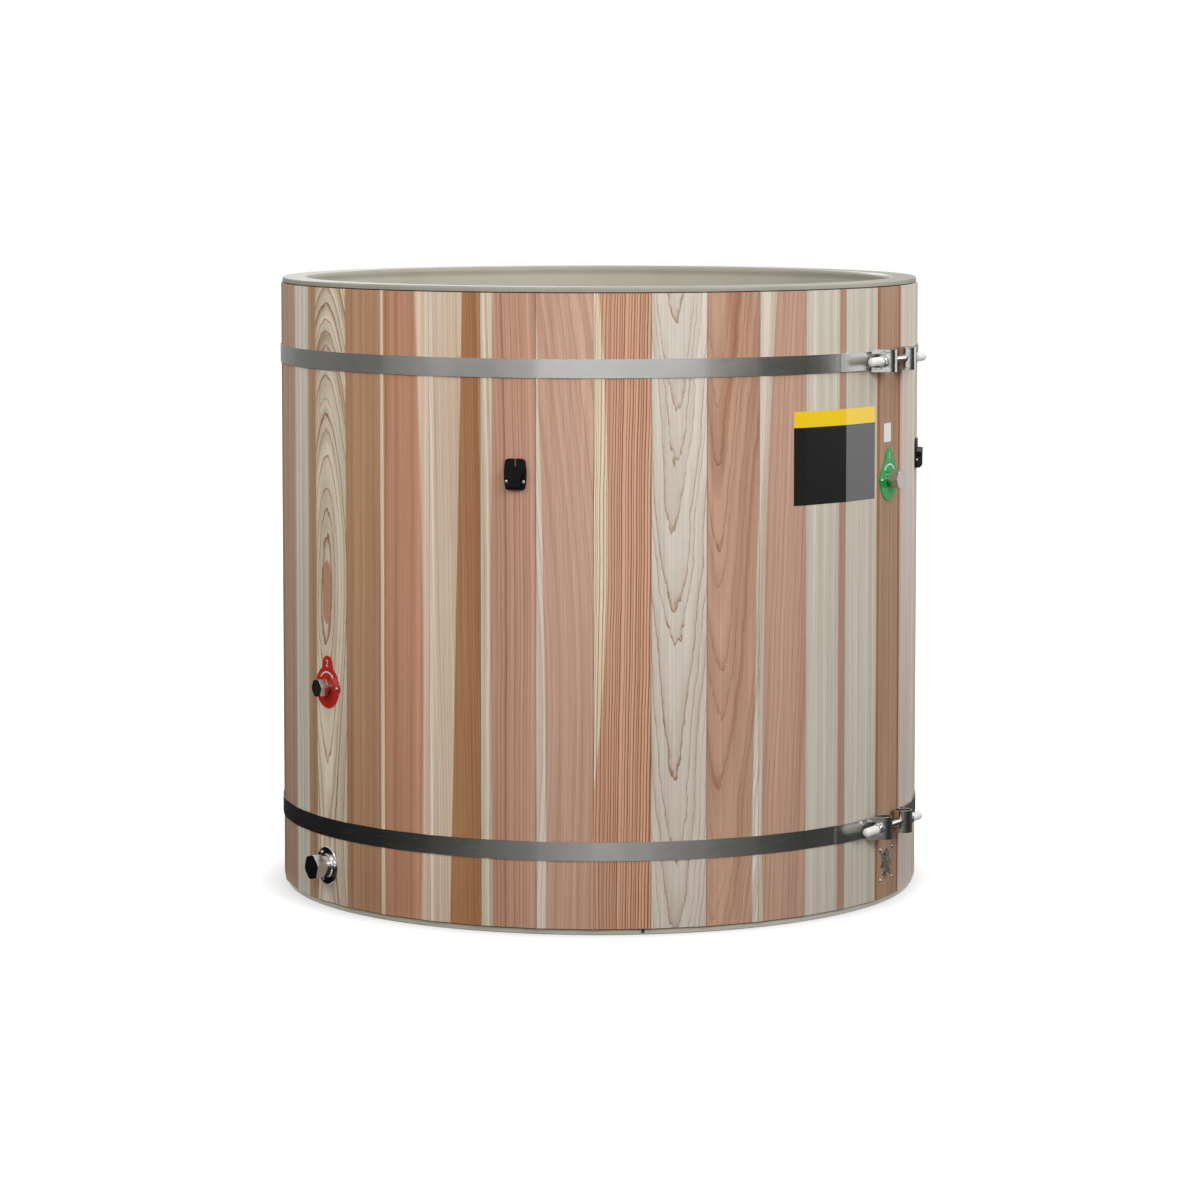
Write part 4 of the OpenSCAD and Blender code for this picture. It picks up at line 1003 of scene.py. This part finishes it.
# %% Rubber, vinyl and moulded plastics
rubber, tree, shader = finish("rubber_moulded_matt", Roughness=0.75, Base_Color="#1d1d1c")
dress(rubber, "weep_plug", "outlet_seal", "inlet_seal", "drain_seal", "port_gaskets")
vinyl, tree, shader = finish("vinyl_dipped_white", Roughness=0.38, Base_Color="#e6e5e1")
dress(vinyl, *[n for n in nodes if "end_cap" in n])
clip_black, tree, shader = finish("nylon_moulded_black", Roughness=0.2, Base_Color="#0b0b0b",
                                  Specular_IOR_Level=0.3)
eased = add(tree, "Bevel", {"Radius": 0.0007}, samples=4)
feed(tree, shader, Normal=eased.outputs[0])
dress(clip_black, "front_clip", "right_clip", "back_clip", "left_clip")
red, tree, shader = finish("plastic_moulded_red", Roughness=0.25, Base_Color="#c02a18")
dress(red, "outlet_plate")
green, tree, shader = finish("plastic_moulded_green", Roughness=0.25, Base_Color="#0a9b4a")
dress(green, "inlet_plate")
ivory, tree, shader = finish("plastic_moulded_ivory", Roughness=0.4, Base_Color="#e8e2d2")
dress(ivory, "suction_strainer", "return_nozzle")
foam, tree, shader = finish("foam_poured", Roughness=0.95)
spot = add(tree, "TexCoord").outputs["Object"]
cells = signal(tree, "TexNoise", {"Vector": spot, "Scale": 260.0, "Detail": 3.0})
tint = add(tree, "ValToRGB", {0: cells}, stops=[(0.3, "#d6c490"), (0.7, "#e6d8a8")])
feed(tree, shader, Base_Color=tint.outputs[0])
emboss(tree, shader, cells, 0.6, 0.001)
dress(foam, "foam_jacket")
print("plastics done")

# %% Prints on the plates
ink, tree, shader = finish("ink_printed_white", Roughness=0.45, Base_Color="#dcdad6")
INK, INK_OUT, LOBE_UP = 0.00012, 0.00202, 0.039  # ink's thickness and place, lobe above the pipe


def number_shape(digit):
    """A plain digit about its middle, eleven millimetres tall."""
    curve = bpy.data.curves.new("digit", "FONT")
    curve.body, curve.size = digit, 0.016
    curve.align_x, curve.align_y = "CENTER", "CENTER"
    holder = bpy.data.objects.new("digit", curve)
    bpy.context.collection.objects.link(holder)
    letter = holder.evaluated_get(bpy.context.evaluated_depsgraph_get())
    mesh = bpy.data.meshes.new_from_object(letter)
    bm = bmesh.new()
    bm.from_mesh(mesh)
    bpy.data.objects.remove(holder)
    bpy.data.curves.remove(curve)
    bpy.data.meshes.remove(mesh)
    thicken(bm, bm.faces[:], INK)
    return bm


def arrow_shape(start, end):
    """A curved arrow round the pipe between two angles, with its head at the second one."""
    inner, outer, middle, barb = 0.0238, 0.0262, 0.025, 0.0032
    way = 1 if end > start else -1
    turns = [math.radians(start + (end - start) * i / 20) for i in range(21)]
    tip = turns[-1] + way * 0.22
    outline = [(outer * math.cos(t), outer * math.sin(t)) for t in turns]
    outline += [((middle + barb) * math.cos(turns[-1]), (middle + barb) * math.sin(turns[-1]))]
    outline += [(middle * math.cos(tip), middle * math.sin(tip))]
    outline += [((middle - barb) * math.cos(turns[-1]), (middle - barb) * math.sin(turns[-1]))]
    outline += [(inner * math.cos(t), inner * math.sin(t)) for t in reversed(turns)]
    return slab(outline, INK)


for (board, across, height), stem, digit, sweep in (
        (OUTLET, "outlet", "2", (140, 52)), (INLET, "inlet", "1", (40, 128))):
    lobe = on_face(board, across, height + LOBE_UP, INK_OUT)
    piece(stem + "_number", number_shape(digit), lobe, "tub", ink)
    plate = on_face(board, across, height, INK_OUT)
    piece(stem + "_arrow", arrow_shape(*sweep), plate, "tub", ink)
print("numbers and arrows printed")

# %% [markdown]
# The blank panel
#
# A thin printed panel is stuck over three boards below the upper clamp and bends over their
# joints. It has a yellow head and a black body and is left blank. A small white sticker, also
# blank, sits above the inlet.

# %% Panel and sticker
panel_black, tree, shader = finish("vinyl_printed_black", Roughness=0.16, Base_Color="#121211",
                                   Specular_IOR_Level=1.0, IOR=1.75)
panel_yellow, tree, shader = finish("vinyl_printed_yellow", Roughness=0.2, Base_Color="#f6cf12",
                                    Specular_IOR_Level=1.0)
paper, tree, shader = finish("paper_label_white", Roughness=0.5, Base_Color="#e4e3e0")

FILM, LIFT = 0.00018, 0.00005
PANEL_FOOT, HEAD_FOOT, PANEL_TOP = 0.677, 0.802, 0.828
bends = [(3, 0.0209, FACE_R), (3.5, 0, CORNER_R), (4.5, 0, CORNER_R), (5, 0.0371, FACE_R)]
path = [turned(board) @ Vector((across, -reach, 0)) for board, across, reach in bends]
outward = [turned(board) @ Vector((0, -1, 0)) for board, across, reach in bends]
bm = bmesh.new()
sheets = []
for lift in (LIFT, LIFT + FILM):
    rows = []
    for z in (PANEL_FOOT, HEAD_FOOT, PANEL_TOP):
        rows.append([bm.verts.new(p + n * lift + Vector((0, 0, z))) for p, n in zip(path, outward)])
    sheets.append(rows)
for rows in sheets:
    for row, above in zip(rows, rows[1:]):
        for i in range(3):
            face = bm.faces.new([row[i], row[i + 1], above[i + 1], above[i]])
            face.material_index = 1 if above is rows[2] else 0
low, high = sheets
rims = [(low[0], high[0], 0), (low[2], high[2], 1)]
for a, b, index in rims:
    for i in range(3):
        bm.faces.new([a[i], a[i + 1], b[i + 1], b[i]]).material_index = index
for i in (0, 3):
    for r in (0, 1):
        bm.faces.new([low[r][i], low[r + 1][i], high[r + 1][i], high[r][i]]).material_index = r
piece("blank_panel", bm, HERE, "tub", panel_black, panel_yellow)
wide, tall, paper_thick = 0.014, 0.0155, 0.00015  # half the sticker's sizes, and its paper
bm = slab([(-wide, -tall), (wide, -tall), (wide, tall), (-wide, tall)], paper_thick)
piece("blank_sticker", bm, on_face(INLET[0], -0.007, 0.782, LIFT), "tub", paper)
print("panel and sticker are blank")
